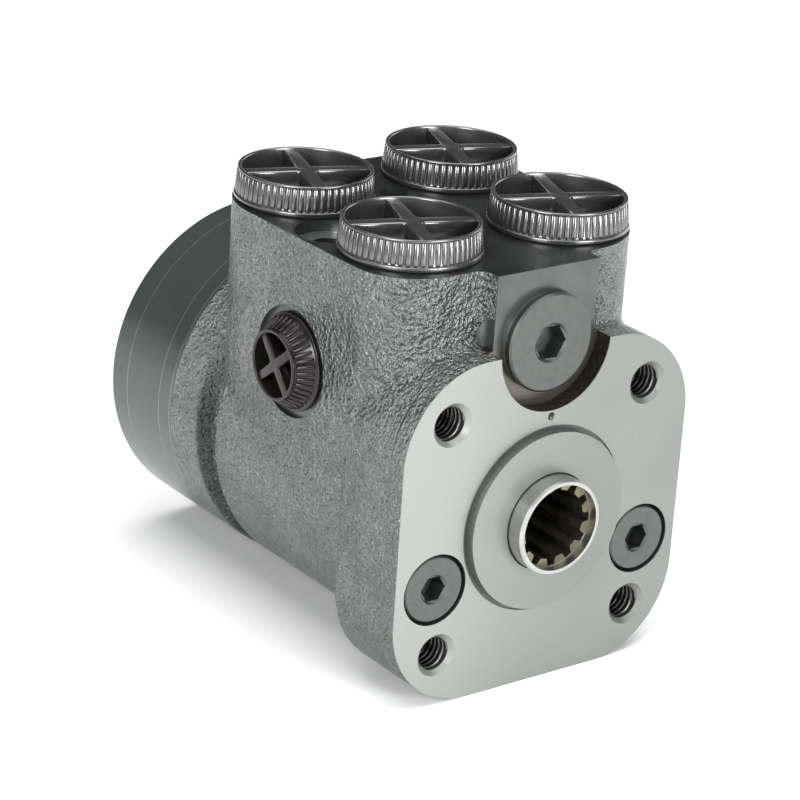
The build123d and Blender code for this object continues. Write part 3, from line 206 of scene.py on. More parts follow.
# ------------------------------------------------------------------ node trees
class Graph:
    """Adds nodes to a tree. A value is a number, a tuple or the output socket of another node."""

    def __init__(self, tree):
        self.tree = tree

    def add(self, kind, values=None, **settings):
        node = self.tree.nodes.new(kind)
        for name, value in settings.items():
            setattr(node, name, value)
        for key, value in (values or {}).items():
            self.put(node.inputs[key], value)
        return node

    def put(self, socket, value):
        if isinstance(value, bpy.types.NodeSocket):
            self.tree.links.new(value, socket)
        else:
            socket.default_value = value

    def math(self, operation, *values):
        return self.add("ShaderNodeMath", dict(enumerate(values)), operation=operation).outputs[0]

    def below(self, value, limit, soft):
        """1 where value is under limit, falling to 0 over a soft width."""
        node = self.add(
            "ShaderNodeMapRange",
            {
                "Value": value, "From Min": limit - soft / 2, "From Max": limit + soft / 2,
                "To Min": 1.0, "To Max": 0.0,
            },
            interpolation_type="SMOOTHSTEP",
        )
        return node.outputs[0]

    def above(self, value, limit, soft):
        """1 where value is over limit."""
        return self.math("SUBTRACT", 1.0, self.below(value, limit, soft))

    def both(self, *masks):
        """Where all masks are 1."""
        result = masks[0]
        for mask in masks[1:]:
            result = self.math("MULTIPLY", result, mask)
        return result

    def mix(self, mask, first, second):
        """A colour between first and second."""
        values = {"Factor": mask, 6: first, 7: second}
        return self.add("ShaderNodeMix", values, data_type="RGBA").outputs[2]

    def blend(self, mask, first, second):
        """A number between first and second."""
        values = {"Factor": mask, "A": first, "B": second}
        return self.add("ShaderNodeMix", values, data_type="FLOAT").outputs[0]

    def noise(self, vector, size, detail=3.0, roughness=0.55):
        """Noise whose lumps have about this size, in the vector's own unit."""
        values = {"Vector": vector, "Scale": 1.0 / size, "Detail": detail, "Roughness": roughness}
        return self.add("ShaderNodeTexNoise", values).outputs[0]

    def radius(self, vector, centre, across=(1, 0, 1)):
        """Distance from an axis through centre. The axis runs along Y, or where across is 0."""
        moved = self.add("ShaderNodeVectorMath", {0: vector, 1: centre}, operation="SUBTRACT")
        flat = self.add("ShaderNodeVectorMath", {0: moved.outputs[0], 1: across}, operation="MULTIPLY")
        return self.add("ShaderNodeVectorMath", {0: flat.outputs[0]}, operation="LENGTH").outputs["Value"]

    def folded(self, vector, centre, sides):
        """The vector from centre, mirrored to the positive side of the axes named in sides."""
        moved = self.add("ShaderNodeVectorMath", {0: vector, 1: centre}, operation="SUBTRACT")
        axes = self.add("ShaderNodeSeparateXYZ", {0: moved.outputs[0]})
        values = {a: self.math("ABSOLUTE", axes.outputs[a]) if a in sides else axes.outputs[a] for a in "XYZ"}
        return self.add("ShaderNodeCombineXYZ", values).outputs[0]

    def either(self, *masks):
        """Where any mask is 1."""
        result = masks[0]
        for mask in masks[1:]:
            result = self.math("MAXIMUM", result, mask)
        return result


def rgba(value):
    """A colour with full alpha."""
    return (*value, 1.0)


def group(name, inputs, outputs):
    """A new shader node group, its graph, its input sockets and its output node."""
    tree = bpy.data.node_groups.new(name, "ShaderNodeTree")
    for label, kind, default in inputs:
        socket = tree.interface.new_socket(label, in_out="INPUT", socket_type=kind)
        socket.default_value = default
    for label, kind in outputs:
        tree.interface.new_socket(label, in_out="OUTPUT", socket_type=kind)
    graph = Graph(tree)
    entry = graph.add("NodeGroupInput")
    leave = graph.add("NodeGroupOutput")
    return tree, graph, entry.outputs, leave.inputs


def cast_skin_group():
    """Lumpy skin of a sand casting: a height and a mask of its low spots."""
    tree, graph, given, out = group(
        "cast_skin",
        [("Vector", "NodeSocketVector", (0, 0, 0)), ("Grain", "NodeSocketFloat", 1.2)],
        [("Height", "NodeSocketFloat"), ("Hollows", "NodeSocketFloat")],
    )
    scale = graph.math("DIVIDE", 1.0, given["Grain"])
    lumps = graph.add("ShaderNodeTexNoise", {
        "Vector": given["Vector"], "Scale": scale, "Detail": 2.0, "Roughness": 0.5
    })
    fine_scale = graph.math("MULTIPLY", scale, 2.7)
    fine = graph.add("ShaderNodeTexNoise", {"Vector": given["Vector"], "Scale": fine_scale, "Detail": 2.0})
    wide_scale = graph.math("MULTIPLY", scale, 0.22)
    wide = graph.add("ShaderNodeTexNoise", {"Vector": given["Vector"], "Scale": wide_scale, "Detail": 1.0})
    pits = graph.add("ShaderNodeTexVoronoi", {"Vector": given["Vector"], "Scale": scale}, feature="SMOOTH_F1")
    pitted = graph.math("MULTIPLY", pits.outputs["Distance"], 0.6)
    height = graph.math("ADD", graph.math("MULTIPLY", lumps.outputs[0], 0.8), pitted)
    height = graph.math("ADD", height, graph.math("MULTIPLY", fine.outputs[0], 0.25))
    height = graph.math("ADD", height, wide.outputs[0])
    graph.put(out["Height"], height)
    graph.put(out["Hollows"], graph.below(lumps.outputs[0], 0.42, 0.16))
    return tree


def turning_group():
    """Fine rings that a lathe or a facing cutter leaves round an axis along Y."""
    tree, graph, given, out = group(
        "turning_marks",
        [
            ("Vector", "NodeSocketVector", (0, 0, 0)),
            ("Centre", "NodeSocketVector", (0, 0, 0)),
            ("Spacing", "NodeSocketFloat", 0.3),
        ],
        [("Height", "NodeSocketFloat")],
    )
    moved = graph.add("ShaderNodeVectorMath", {0: given["Vector"], 1: given["Centre"]}, operation="SUBTRACT")
    flat = graph.add("ShaderNodeVectorMath", {0: moved.outputs[0], 1: (1, 0, 1)}, operation="MULTIPLY")
    radius = graph.add("ShaderNodeVectorMath", {0: flat.outputs[0]}, operation="LENGTH").outputs["Value"]
    along = graph.add("ShaderNodeSeparateXYZ", {0: given["Vector"]}).outputs["Y"]
    rings = graph.add("ShaderNodeCombineXYZ", {"X": radius, "Y": along})
    scale = graph.math("DIVIDE", 1.0, given["Spacing"])
    noise = graph.add("ShaderNodeTexNoise", {"Vector": rings.outputs[0], "Scale": scale, "Detail": 2.0})
    graph.put(out["Height"], noise.outputs[0])
    return tree


def stain_group():
    """A colour with soft darker stains."""
    tree, graph, given, out = group(
        "stains",
        [
            ("Vector", "NodeSocketVector", (0, 0, 0)),
            ("Size", "NodeSocketFloat", 8.0),
            ("Amount", "NodeSocketFloat", 0.3),
            ("Colour", "NodeSocketColor", (0.5, 0.5, 0.5, 1)),
            ("Stain", "NodeSocketColor", (0.2, 0.2, 0.2, 1)),
        ],
        [("Colour", "NodeSocketColor"), ("Mask", "NodeSocketFloat")],
    )
    scale = graph.math("DIVIDE", 1.0, given["Size"])
    noise = graph.add("ShaderNodeTexNoise", {"Vector": given["Vector"], "Scale": scale, "Detail": 4.0})
    mask = graph.math("MULTIPLY", graph.above(noise.outputs[0], 0.52, 0.3), given["Amount"])
    graph.put(out["Colour"], graph.mix(mask, given["Colour"], given["Stain"]))
    graph.put(out["Mask"], mask)
    return tree


def shared(name, builder):
    """A node group that is built once."""
    return bpy.data.node_groups.get(name) or builder()


class Finish:
    """A material with its shader, its graph and its object coordinates in millimetres."""

    def __init__(self, name, **sockets):
        self.material = bpy.data.materials.new(name)
        self.material.use_nodes = True
        tree = self.material.node_tree
        tree.nodes.clear()
        self.graph = Graph(tree)
        self.shader = self.graph.add("ShaderNodeBsdfPrincipled")
        output = self.graph.add("ShaderNodeOutputMaterial")
        tree.links.new(self.shader.outputs[0], output.inputs["Surface"])
        coordinates = self.graph.add("ShaderNodeTexCoord").outputs["Object"]
        scaled = self.graph.add("ShaderNodeVectorMath", {0: coordinates, "Scale": 1.0 / MM}, operation="SCALE")
        self.place = scaled.outputs[0]
        for name, value in sockets.items():
            self.set(name.replace("_", " "), value)

    def set(self, socket, value):
        self.graph.put(self.shader.inputs[socket], value)

    def bump(self, height, depth, normal=None):
        """Raises the surface by height times depth, in millimetres."""
        values = {"Height": height, "Distance": depth * MM, "Strength": 1.0}
        if normal is not None:
            values["Normal"] = normal
        return self.graph.add("ShaderNodeBump", values).outputs[0]

    def stained(self, colour, stain, size, amount):
        """A stained colour at this place."""
        values = {
            "Vector": self.place, "Size": size, "Amount": amount, "Colour": rgba(colour), "Stain": rgba(stain)
        }
        node = self.graph.add("ShaderNodeGroup", node_tree=shared("stains", stain_group))
        for key, value in values.items():
            self.graph.put(node.inputs[key], value)
        return node.outputs["Colour"]

    def turning(self, centre, spacing):
        """Turning marks round an axis through centre (x, z)."""
        node = self.graph.add("ShaderNodeGroup", node_tree=shared("turning_marks", turning_group))
        self.graph.put(node.inputs["Vector"], self.place)
        self.graph.put(node.inputs["Centre"], (centre[0], 0, centre[1]))
        self.graph.put(node.inputs["Spacing"], spacing)
        return node.outputs["Height"]

    def skin(self, grain):
        """Cast skin: its height and its hollows."""
        node = self.graph.add("ShaderNodeGroup", node_tree=shared("cast_skin", cast_skin_group))
        self.graph.put(node.inputs["Vector"], self.place)
        self.graph.put(node.inputs["Grain"], grain)
        return node.outputs["Height"], node.outputs["Hollows"]


def drilled_walls(finish):
    """Mask of the walls of every hole, seat and spot face in the casting."""
    graph = finish.graph
    x, y, z = graph.add("ShaderNodeSeparateXYZ", {0: finish.place}).outputs
    upright = (1, 1, 0)
    quarter = graph.folded(finish.place, (0, 0, 0), "XZ")
    half = graph.folded(finish.place, (0, 0, 0), "X")
    ports = graph.folded(finish.place, (PORT_MIDDLE.x, PORT_MIDDLE.y, 0), "XY")
    front = [
        (graph.radius(quarter, (BOLT_HALF, 0, BOLT_HALF)), BOLT_MOUTH_R, FRONT_DEPTH),
        (graph.radius(half, (SHOCK_PLACE[0], 0, SHOCK_PLACE[1])), SHOCK_SPOT_R, FRONT_DEPTH),
        (graph.radius(finish.place, (0, 0, 0)), PILOT_R + PILOT_GROOVE_WIDTH, HOUSING_END_Y),
    ]
    top = [
        (graph.radius(ports, (PORT_HALF.x, PORT_HALF.y, 0), upright), PORT_SEAT_R),
        (graph.radius(finish.place, (*STEP_HOLE, 0), upright), STEP_HOLE_R),
        (graph.radius(finish.place, (*DRAIN_HOLE, 0), upright), DRAIN_HOLE_R),
    ]
    side = graph.radius(finish.place, (0, SENSE.y, SENSE.z), (0, 1, 1))
    masks = []
    for away, reach, end in front:
        masks.append(graph.both(graph.below(away, reach + 0.1, 0.1), graph.below(y, end, 1.0)))
    for away, reach in top:
        masks.append(graph.both(graph.below(away, reach + 0.1, 0.1), graph.above(z, 38.0, 1.0)))
    masks.append(graph.both(graph.below(side, SENSE_SPOT_R + 0.1, 0.1), graph.below(x, -24.0, 1.0)))
    return graph.either(*masks)


def housing_finish(look):
    """Cast skin under dark paint, with a ground mounting face and milled port face, pad and spot faces."""
    finish = Finish("housing_iron", Specular_IOR_Level=0.5)
    graph = finish.graph
    x, y, z = graph.add("ShaderNodeSeparateXYZ", {0: finish.place}).outputs
    ragged = graph.math("MULTIPLY_ADD", graph.noise(finish.place, 1.1, 2.0), 0.5, y)
    quarter = graph.folded(finish.place, (0, 0, 0), "XZ")
    mouth = graph.below(graph.radius(quarter, (BOLT_HALF, 0, BOLT_HALF)), BOLT_MOUTH_R + 0.1, 0.1)
    mouth = graph.both(mouth, graph.below(y, BOLT_MOUTH_DEPTH, 0.2))
    from_axis = graph.radius(finish.place, (0, 0, 0))
    groove = graph.below(from_axis, PILOT_R + PILOT_GROOVE_WIDTH + 0.1, 0.1)
    groove = graph.both(groove, graph.below(y, 1.0, 0.1))
    face = graph.either(graph.below(ragged, 0.45, 0.12), mouth, groove)
    from_relief = graph.radius(finish.place, (0, 0, RELIEF_Z))
    spot = graph.both(graph.below(from_relief, RELIEF_SPOT_R + 0.3, 0.1), graph.above(y, 0.02, 0.04))
    spot = graph.both(spot, graph.below(y, FRONT_DEPTH, 1.0))
    low_spot = graph.both(spot, graph.below(z, 43.2, 0.6))
    pad = graph.both(graph.above(y, PAD_Y - 0.2, 0.1), graph.below(y, PAD_Y + 0.2, 0.1))
    top = graph.above(z, PORT_FACE_Z - 0.08, 0.05)
    ring = graph.above(y, HOUSING_END_Y - 1.0, 0.2)
    milled = graph.either(pad, top, spot, ring, drilled_walls(finish))

    height, hollows = finish.skin(look.grain / MM)
    grey = finish.stained(look.paint, [c * 0.6 for c in look.paint], 14.0, 0.5)
    cast = graph.mix(graph.math("MULTIPLY", hollows, 0.28), grey, rgba([c * 0.25 for c in look.paint]))
    # Painted shade: the rear half of the neck groove is darkened, most towards the bottom.
    painted_neck_shade = graph.both(graph.above(y, NECK_Y[0], 2.5), graph.below(y, NECK_Y[1], 0.8))
    painted_neck_shade = graph.both(painted_neck_shade, graph.below(z, 14.0, 26.0))
    cast = graph.mix(graph.math("MULTIPLY", painted_neck_shade, 0.7), cast, rgba([c * 0.12 for c in look.paint]))
    # Painted shade: the casting is darker towards its bottom, near the floor.
    low = graph.math("MULTIPLY", graph.below(z, -26.0, 20.0), 0.5)
    cast = graph.mix(low, cast, rgba([c * 0.35 for c in look.paint]))
    plane = finish.stained(look.milled, [c * 0.6 for c in look.milled], 9.0, 0.5)
    ground = finish.stained(look.face, [c * 0.8 for c in look.face], 0.5, 0.5)
    worn = graph.noise(finish.place, 45.0, 2.0)
    ground = graph.mix(graph.above(worn, 0.5, 0.35), ground, rgba([c * 0.88 for c in look.face]))
    # Painted light: the mounting face is lighter towards its left.
    painted_left_light = graph.math("MULTIPLY", graph.below(x, -10.0, 60.0), 0.8)
    ground = graph.mix(painted_left_light, ground, rgba([c * 1.3 for c in look.face]))
    groove_end = graph.below(from_axis, PILOT_R + PILOT_GROOVE_WIDTH, 0.2)
    in_groove = graph.both(graph.above(from_axis, PILOT_R, 0.1), groove_end)
    on_disc = graph.below(from_axis, PILOT_R, 0.1)
    ground = graph.mix(graph.math("MULTIPLY", on_disc, 0.35), ground, rgba([c * 0.7 for c in look.face]))
    # Painted shade: a dark line in the groove round the pilot disc.
    ground = graph.mix(graph.math("MULTIPLY", in_groove, 0.8), ground, rgba([c * 0.22 for c in look.face]))
    film = finish.stained(look.rust, (0.03, 0.024, 0.02), 1.6, 0.9)
    brown = graph.mix(pad, film, rgba((0.13, 0.12, 0.105)))
    # Light line at the rear joint: bare edge, partly a painted highlight.
    joint = graph.math("COMPARE", y, JOINTS_Y[0], 0.16)
    turned = graph.mix(joint, rgba(look.ring), JOINT_EDGE_AND_HIGHLIGHT)
    # Painted shade: the top port face is darker than the pad.
    plane = graph.mix(graph.math("MULTIPLY", top, 0.6), plane, (0.0, 0.0, 0.0, 1.0))
    from_step = graph.radius(finish.place, (*STEP_HOLE, 0), (1, 1, 0))
    step = graph.both(graph.below(from_step, STEP_HOLE_R + 0.1, 0.1), graph.math("COMPARE", z, STEP_Z, 0.12))
    plane = graph.mix(step, plane, rgba(look.face))
    base = graph.mix(milled, cast, plane)
    base = graph.mix(ring, base, turned)
    base = graph.mix(low_spot, base, brown)
    base = graph.mix(face, base, ground)
    finish.set("Base Color", base)
    metal = graph.blend(face, 0.82, 0.85)
    finish.set("Metallic", graph.blend(ring, metal, 0.6))
    rough = graph.blend(milled, graph.blend(hollows, 0.19, 0.36), 0.3)
    rough = graph.blend(ring, rough, 0.22)
    finish.set("Roughness", graph.blend(face, rough, graph.blend(graph.noise(finish.place, 0.45), 0.34, 0.5)))

    cast_only = graph.both(graph.math("SUBTRACT", 1.0, milled), graph.math("SUBTRACT", 1.0, face))
    lumps = finish.bump(graph.math("MULTIPLY", height, cast_only), look.grain_depth / MM)
    marks = graph.math("MULTIPLY", finish.turning((0, 0), 0.5), graph.math("SUBTRACT", 1.0, cast_only))
    sand = graph.math("MULTIPLY", graph.noise(finish.place, 0.35, 2.0), graph.math("SUBTRACT", 1.0, cast_only))
    fine = graph.math("ADD", marks, graph.math("MULTIPLY", sand, 2.0))
    finish.set("Normal", finish.bump(fine, 0.014, lumps))
    return finish.material


def painted_ring_finish(look):
    """Smooth dark paint over turned steel."""
    finish = Finish("ring_paint", Metallic=0.6, Specular_IOR_Level=0.5)
    graph = finish.graph
    y = graph.add("ShaderNodeSeparateXYZ", {0: finish.place}).outputs["Y"]
    joints = graph.either(*(graph.math("COMPARE", y, joint, 0.16) for joint in JOINTS_Y))
    dark = finish.stained(look.ring, [c * 0.8 for c in look.ring], 18.0, 0.5)
    # Light lines at the joints: bare edges, partly painted highlights.
    finish.set("Base Color", graph.mix(joints, dark, JOINT_EDGE_AND_HIGHLIGHT))
    finish.set("Roughness", graph.blend(graph.noise(finish.place, 6.0), 0.17, 0.27))
    finish.set("Normal", finish.bump(finish.turning((0, 0), 0.45), 0.008))
    return finish.material


def turned_steel_finish(look):
    """Bright turned steel; painted shade darkens the flanks of its splined socket, whose tooth ends hold a
    khaki oil film.
    """
    finish = Finish("turned_steel", Specular_IOR_Level=0.5)
    graph = finish.graph
    y = graph.add("ShaderNodeSeparateXYZ", {0: finish.place}).outputs["Y"]
    radius = graph.radius(finish.place, (0, 0, 0))
    socket = graph.both(graph.below(radius, 10.7, 0.15), graph.above(y, SOCKET_Y - 0.2, 0.2))
    tooth_ends = graph.both(socket, graph.below(y, SOCKET_Y + 0.15, 0.1))
    bright = finish.stained(look.turned, [c * 0.75 for c in look.turned], 2.5, 0.3)
    # Painted shade: the flanks inside the splined socket are darkened.
    shaded_flanks = finish.stained((0.085, 0.08, 0.06), (0.03, 0.028, 0.02), 2.4, 0.5)
    film = finish.stained(look.spline, [c * 0.6 for c in look.spline], 1.2, 0.5)
    colour = graph.mix(socket, bright, shaded_flanks)
    finish.set("Base Color", graph.mix(tooth_ends, colour, film))
    finish.set("Metallic", graph.blend(socket, 1.0, 0.8))
    finish.set("Roughness", graph.blend(socket, graph.blend(graph.noise(finish.place, 3.0), 0.3, 0.4), 0.36))
    finish.set("Normal", finish.bump(finish.turning((0, 0), 0.35), 0.01))
    return finish.material


def steel_finish(name, base, roughness, centre=(0, 0), marks=0.008, metallic=1.0, stain=0.6):
    """A plain machined steel with faint turning marks and stains."""
    finish = Finish(name, Metallic=metallic, Specular_IOR_Level=0.5)
    graph = finish.graph
    finish.set("Base Color", finish.stained(base, [c * stain for c in base], 2.2, 0.25))
    finish.set("Roughness", graph.blend(graph.noise(finish.place, 1.2), roughness - 0.06, roughness + 0.08))
    finish.set("Normal", finish.bump(finish.turning(centre, 0.3), marks))
    return finish.material


def plastic_finish(name, plastic, stain, coat):
    """Glossy moulded plastic with a slightly uneven skin."""
    gloss = 0.25 + 0.5 * coat
    finish = Finish(name, Specular_IOR_Level=gloss, Coat_Weight=coat, Coat_IOR=1.8, Coat_Roughness=0.2)
    graph = finish.graph
    finish.set("Base Color", finish.stained(plastic, stain, 1.5, 0.5))
    finish.set("Roughness", graph.blend(graph.noise(finish.place, 1.0), 0.16, 0.3))
    finish.set("Normal", finish.bump(graph.noise(finish.place, 0.9), 0.02))
    return finish.material


def rubber_finish():
    """Dull black rubber."""
    finish = Finish("seal_rubber", Specular_IOR_Level=0.4)
    graph = finish.graph
    finish.set("Base Color", finish.stained((0.015, 0.015, 0.015), (0.03, 0.03, 0.03), 1.5, 0.6))
    finish.set("Roughness", graph.blend(graph.noise(finish.place, 0.9), 0.55, 0.75))
    finish.set("Normal", finish.bump(graph.noise(finish.place, 0.3), 0.02))
    return finish.material


def dress(material, *names):
    """Gives CAD nodes one finish."""
    for name in names:
        mesh = frame["nodes"][name].data
        mesh.materials.clear()
        mesh.materials.append(material)


# ------------------------------------------------------------------ geometry trees
def growth_tree(name, inputs):
    """A new Geometry Nodes tree with named inputs, its graph, its inputs and its last step."""
    tree = bpy.data.node_groups.new(name, "GeometryNodeTree")
    tree.interface.new_socket("Geometry", in_out="INPUT", socket_type="NodeSocketGeometry")
    for label, kind in inputs:
        tree.interface.new_socket(label, in_out="INPUT", socket_type=kind)
    tree.interface.new_socket("Material", in_out="INPUT", socket_type="NodeSocketMaterial")
    tree.interface.new_socket("Geometry", in_out="OUTPUT", socket_type="NodeSocketGeometry")
    graph = Graph(tree)
    entry = graph.add("NodeGroupInput")
    leave = graph.add("NodeGroupOutput")
    real = graph.add("GeometryNodeRealizeInstances")
    paint = graph.add("GeometryNodeSetMaterial", {
        "Geometry": real.outputs[0], "Material": entry.outputs["Material"]
    })
    graph.put(leave.inputs[0], paint.outputs[0])
    return tree, graph, entry.outputs, real.inputs[0]


def thread_tree():
    """A helical thread at each point of the input mesh, running along its own +Z."""
    tree, graph, given, result = growth_tree(
        "thread_ridges",
        [
            ("Radius", "NodeSocketFloat"),
            ("Pitch", "NodeSocketFloat"),
            ("Turns", "NodeSocketFloat"),
            ("Depth", "NodeSocketFloat"),
            ("Direction", "NodeSocketRotation"),
        ],
    )
    rise = graph.math("MULTIPLY", given["Pitch"], given["Turns"])
    path = graph.add(
        "GeometryNodeCurveSpiral",
        {
            "Resolution": 40, "Rotations": given["Turns"], "Start Radius": given["Radius"],
            "End Radius": given["Radius"], "Height": rise
        },
    )
    upright = graph.add("GeometryNodeSetCurveNormal", {"Curve": path.outputs[0]}, mode="Z_UP")
    flank = graph.math("MULTIPLY", given["Pitch"], 0.43)
    section = graph.add(
        "GeometryNodeCurvePrimitiveQuadrilateral",
        {"Width": graph.math("MULTIPLY", given["Depth"], 2.0), "Bottom Height": flank, "Top Height": flank},
        mode="KITE",
    )
    ridge = graph.add(
        "GeometryNodeCurveToMesh",
        {"Curve": upright.outputs[0], "Profile Curve": section.outputs[0], "Fill Caps": True},
    )
    copies = graph.add(
        "GeometryNodeInstanceOnPoints",
        {"Points": given["Geometry"], "Instance": ridge.outputs[0], "Rotation": given["Direction"]},
    )
    graph.put(result, copies.outputs[0])
    return tree


def rib_tree():
    """A crown of upright grip ribs with round ends, leaning inwards towards their tops."""
    tree, graph, given, result = growth_tree(
        "grip_ribs",
        [
            ("Count", "NodeSocketInt"),
            ("Base Radius", "NodeSocketFloat"),
            ("Top Radius", "NodeSocketFloat"),
            ("Height", "NodeSocketFloat"),
            ("Depth", "NodeSocketFloat"),
            ("Foot", "NodeSocketFloat"),
        ],
    )
    width = graph.math("DIVIDE", graph.math("MULTIPLY", given["Top Radius"], math.pi * 0.84), given["Count"])
    ball = graph.add("GeometryNodeMeshUVSphere", {"Segments": 10, "Rings": 8, "Radius": 1.0})
    squeezed = graph.add("ShaderNodeCombineXYZ", {"X": given["Depth"], "Y": width, "Z": width})
    bead = graph.add("GeometryNodeTransform", {"Geometry": ball.outputs[0], "Scale": squeezed.outputs[0]})
    half = graph.math("SUBTRACT", graph.math("MULTIPLY", given["Height"], 0.5), width)
    place = graph.add("GeometryNodeInputPosition").outputs[0]
    level = graph.add("ShaderNodeSeparateXYZ", {0: place}).outputs["Z"]
    side = graph.math("MULTIPLY", graph.math("SIGN", level), half)
    stretch = graph.add("ShaderNodeCombineXYZ", {"Z": side})
    rib = graph.add("GeometryNodeSetPosition", {"Geometry": bead.outputs[0], "Offset": stretch.outputs[0]})
    middle = graph.math("MULTIPLY", graph.math("ADD", given["Base Radius"], given["Top Radius"]), 0.5)
    circle = graph.add("GeometryNodeMeshCircle", {"Vertices": given["Count"], "Radius": middle})
    level = graph.math("MULTIPLY_ADD", given["Height"], 0.5, given["Foot"])
    lift = graph.add("ShaderNodeCombineXYZ", {"Z": level})
    lifted = graph.add("GeometryNodeTransform", {
        "Geometry": circle.outputs[0], "Translation": lift.outputs[0]
    })
    index = graph.add("GeometryNodeInputIndex").outputs[0]
    turn = graph.math("DIVIDE", graph.math("MULTIPLY", index, 2 * math.pi), given["Count"])
    fall = graph.math("SUBTRACT", given["Base Radius"], given["Top Radius"])
    lean = graph.math("MULTIPLY", graph.math("ARCTAN2", fall, given["Height"]), -1.0)
    rotation = graph.add("ShaderNodeCombineXYZ", {"Y": lean, "Z": turn})
    crown = graph.add(
        "GeometryNodeInstanceOnPoints",
        {"Points": lifted.outputs[0], "Instance": rib.outputs[0], "Rotation": rotation.outputs[0]},
    )
    graph.put(result, crown.outputs[0])
    return tree


def grown(name, tree, values, points=None):
    """The plain mesh that a geometry tree makes from these values and points."""
    base = bpy.data.meshes.new(name)
    base.from_pydata([Vector(p) for p in points or []], [], [])
    carrier = bpy.data.objects.new(name + "_carrier", base)
    bpy.context.scene.collection.objects.link(carrier)
    modifier = carrier.modifiers.new("growth", "NODES")
    modifier.node_group = tree
    for item in tree.interface.items_tree:
        if item.item_type == "SOCKET" and item.in_out == "INPUT" and item.name in values:
            modifier[item.identifier] = values[item.name]
    evaluated = carrier.evaluated_get(bpy.context.evaluated_depsgraph_get())
    mesh = bpy.data.meshes.new_from_object(evaluated)
    carrier.modifiers.remove(modifier)
    bpy.data.objects.remove(carrier)
    mesh.name = name
    return mesh


# ------------------------------------------------------------------ meshes
def piece(name, mesh, body, replaced=()):
    """A finished piece that rides on a CAD body."""
    made = bpy.data.objects.new(name, mesh)
    bpy.context.scene.collection.objects.link(made)
    for polygon in mesh.polygons:
        polygon.use_smooth = True
    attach(made, body)
    if replaced:
        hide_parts(*replaced)
    return made


def lathe(corners, steps):
    """A closed body turned round Z from (radius, z) corners, lowest on the axis first."""
    build = bmesh.new()
    rings = []
    for radius, z in corners:
        if radius == 0:
            rings.append([build.verts.new((0, 0, z))])
        else:
            turns = [2 * math.pi * step / steps for step in range(steps)]
            rings.append([build.verts.new((radius * math.cos(t), radius * math.sin(t), z)) for t in turns])
    for lower, upper in zip(rings, rings[1:]):
        for step in range(steps):
            after = (step + 1) % steps
            if len(lower) == 1:
                build.faces.new((lower[0], upper[after], upper[step]))
            elif len(upper) == 1:
                build.faces.new((lower[step], lower[after], upper[0]))
            else:
                build.faces.new((lower[step], lower[after], upper[after], upper[step]))
    bmesh.ops.recalc_face_normals(build, faces=build.faces)
    return build


def rounded(corners, radius, steps=3):
    """Corners of a profile with every bend eased by a short arc of points."""
    eased = [corners[0]]
    for before, here, after in zip(corners, corners[1:], corners[2:]):
        here, before, after = Vector(here), Vector(before), Vector(after)
        reach = min(radius, (before - here).length * 0.45, (after - here).length * 0.45)
        start = here + (before - here).normalized() * reach
        end = here + (after - here).normalized() * reach
        for step in range(steps + 1):
            t = step / steps
            eased.append(tuple(start.lerp(here, t).lerp(here.lerp(end, t), t)))
    eased.append(corners[-1])
    return eased


def cross_bars(reach, width, corner, bottom, top, edge):
    """A plus-shaped web with hollow corner fillets and a rounded upper edge."""
    half = width / 2
    outline = []
    for quarter in range(4):
        turn = Matrix.Rotation(quarter * math.pi / 2, 2)
        bend = half + corner
        points = [Vector((reach, half))]
        for step in range(6):
            angle = math.radians(270 - 90 * step / 5)
            points.append(Vector((bend + corner * math.cos(angle), bend + corner * math.sin(angle))))
        points.append(Vector((half, reach)))
        outline += [turn @ point for point in points]
    build = bmesh.new()
    floor = [build.verts.new((p.x, p.y, bottom)) for p in outline]
    base = build.faces.new(floor)
    raised = bmesh.ops.extrude_face_region(build, geom=[base])
    lifted = [item for item in raised["geom"] if isinstance(item, bmesh.types.BMVert)]
    bmesh.ops.translate(build, verts=lifted, vec=(0, 0, top - bottom))
    rim = [e for e in build.edges if all(abs(v.co.z - top) < 1e-7 for v in e.verts)]
    bmesh.ops.bevel(build, geom=rim, offset=edge, segments=3, affect="EDGES", profile=0.5)
    bmesh.ops.recalc_face_normals(build, faces=build.faces)
    return build


def joined(name, builds, ribs, material, matrix):
    """One mesh from several builds and a mesh of ribs, put in place."""
    whole = bmesh.new()
    for build in builds:
        part = bpy.data.meshes.new("part")
        build.to_mesh(part)
        build.free()
        whole.from_mesh(part)
        bpy.data.meshes.remove(part)
    whole.from_mesh(ribs)
    bpy.data.meshes.remove(ribs)
    mesh = bpy.data.meshes.new(name)
    whole.to_mesh(mesh)
    whole.free()
    mesh.transform(matrix)
    mesh.materials.clear()
    mesh.materials.append(material)
    return mesh


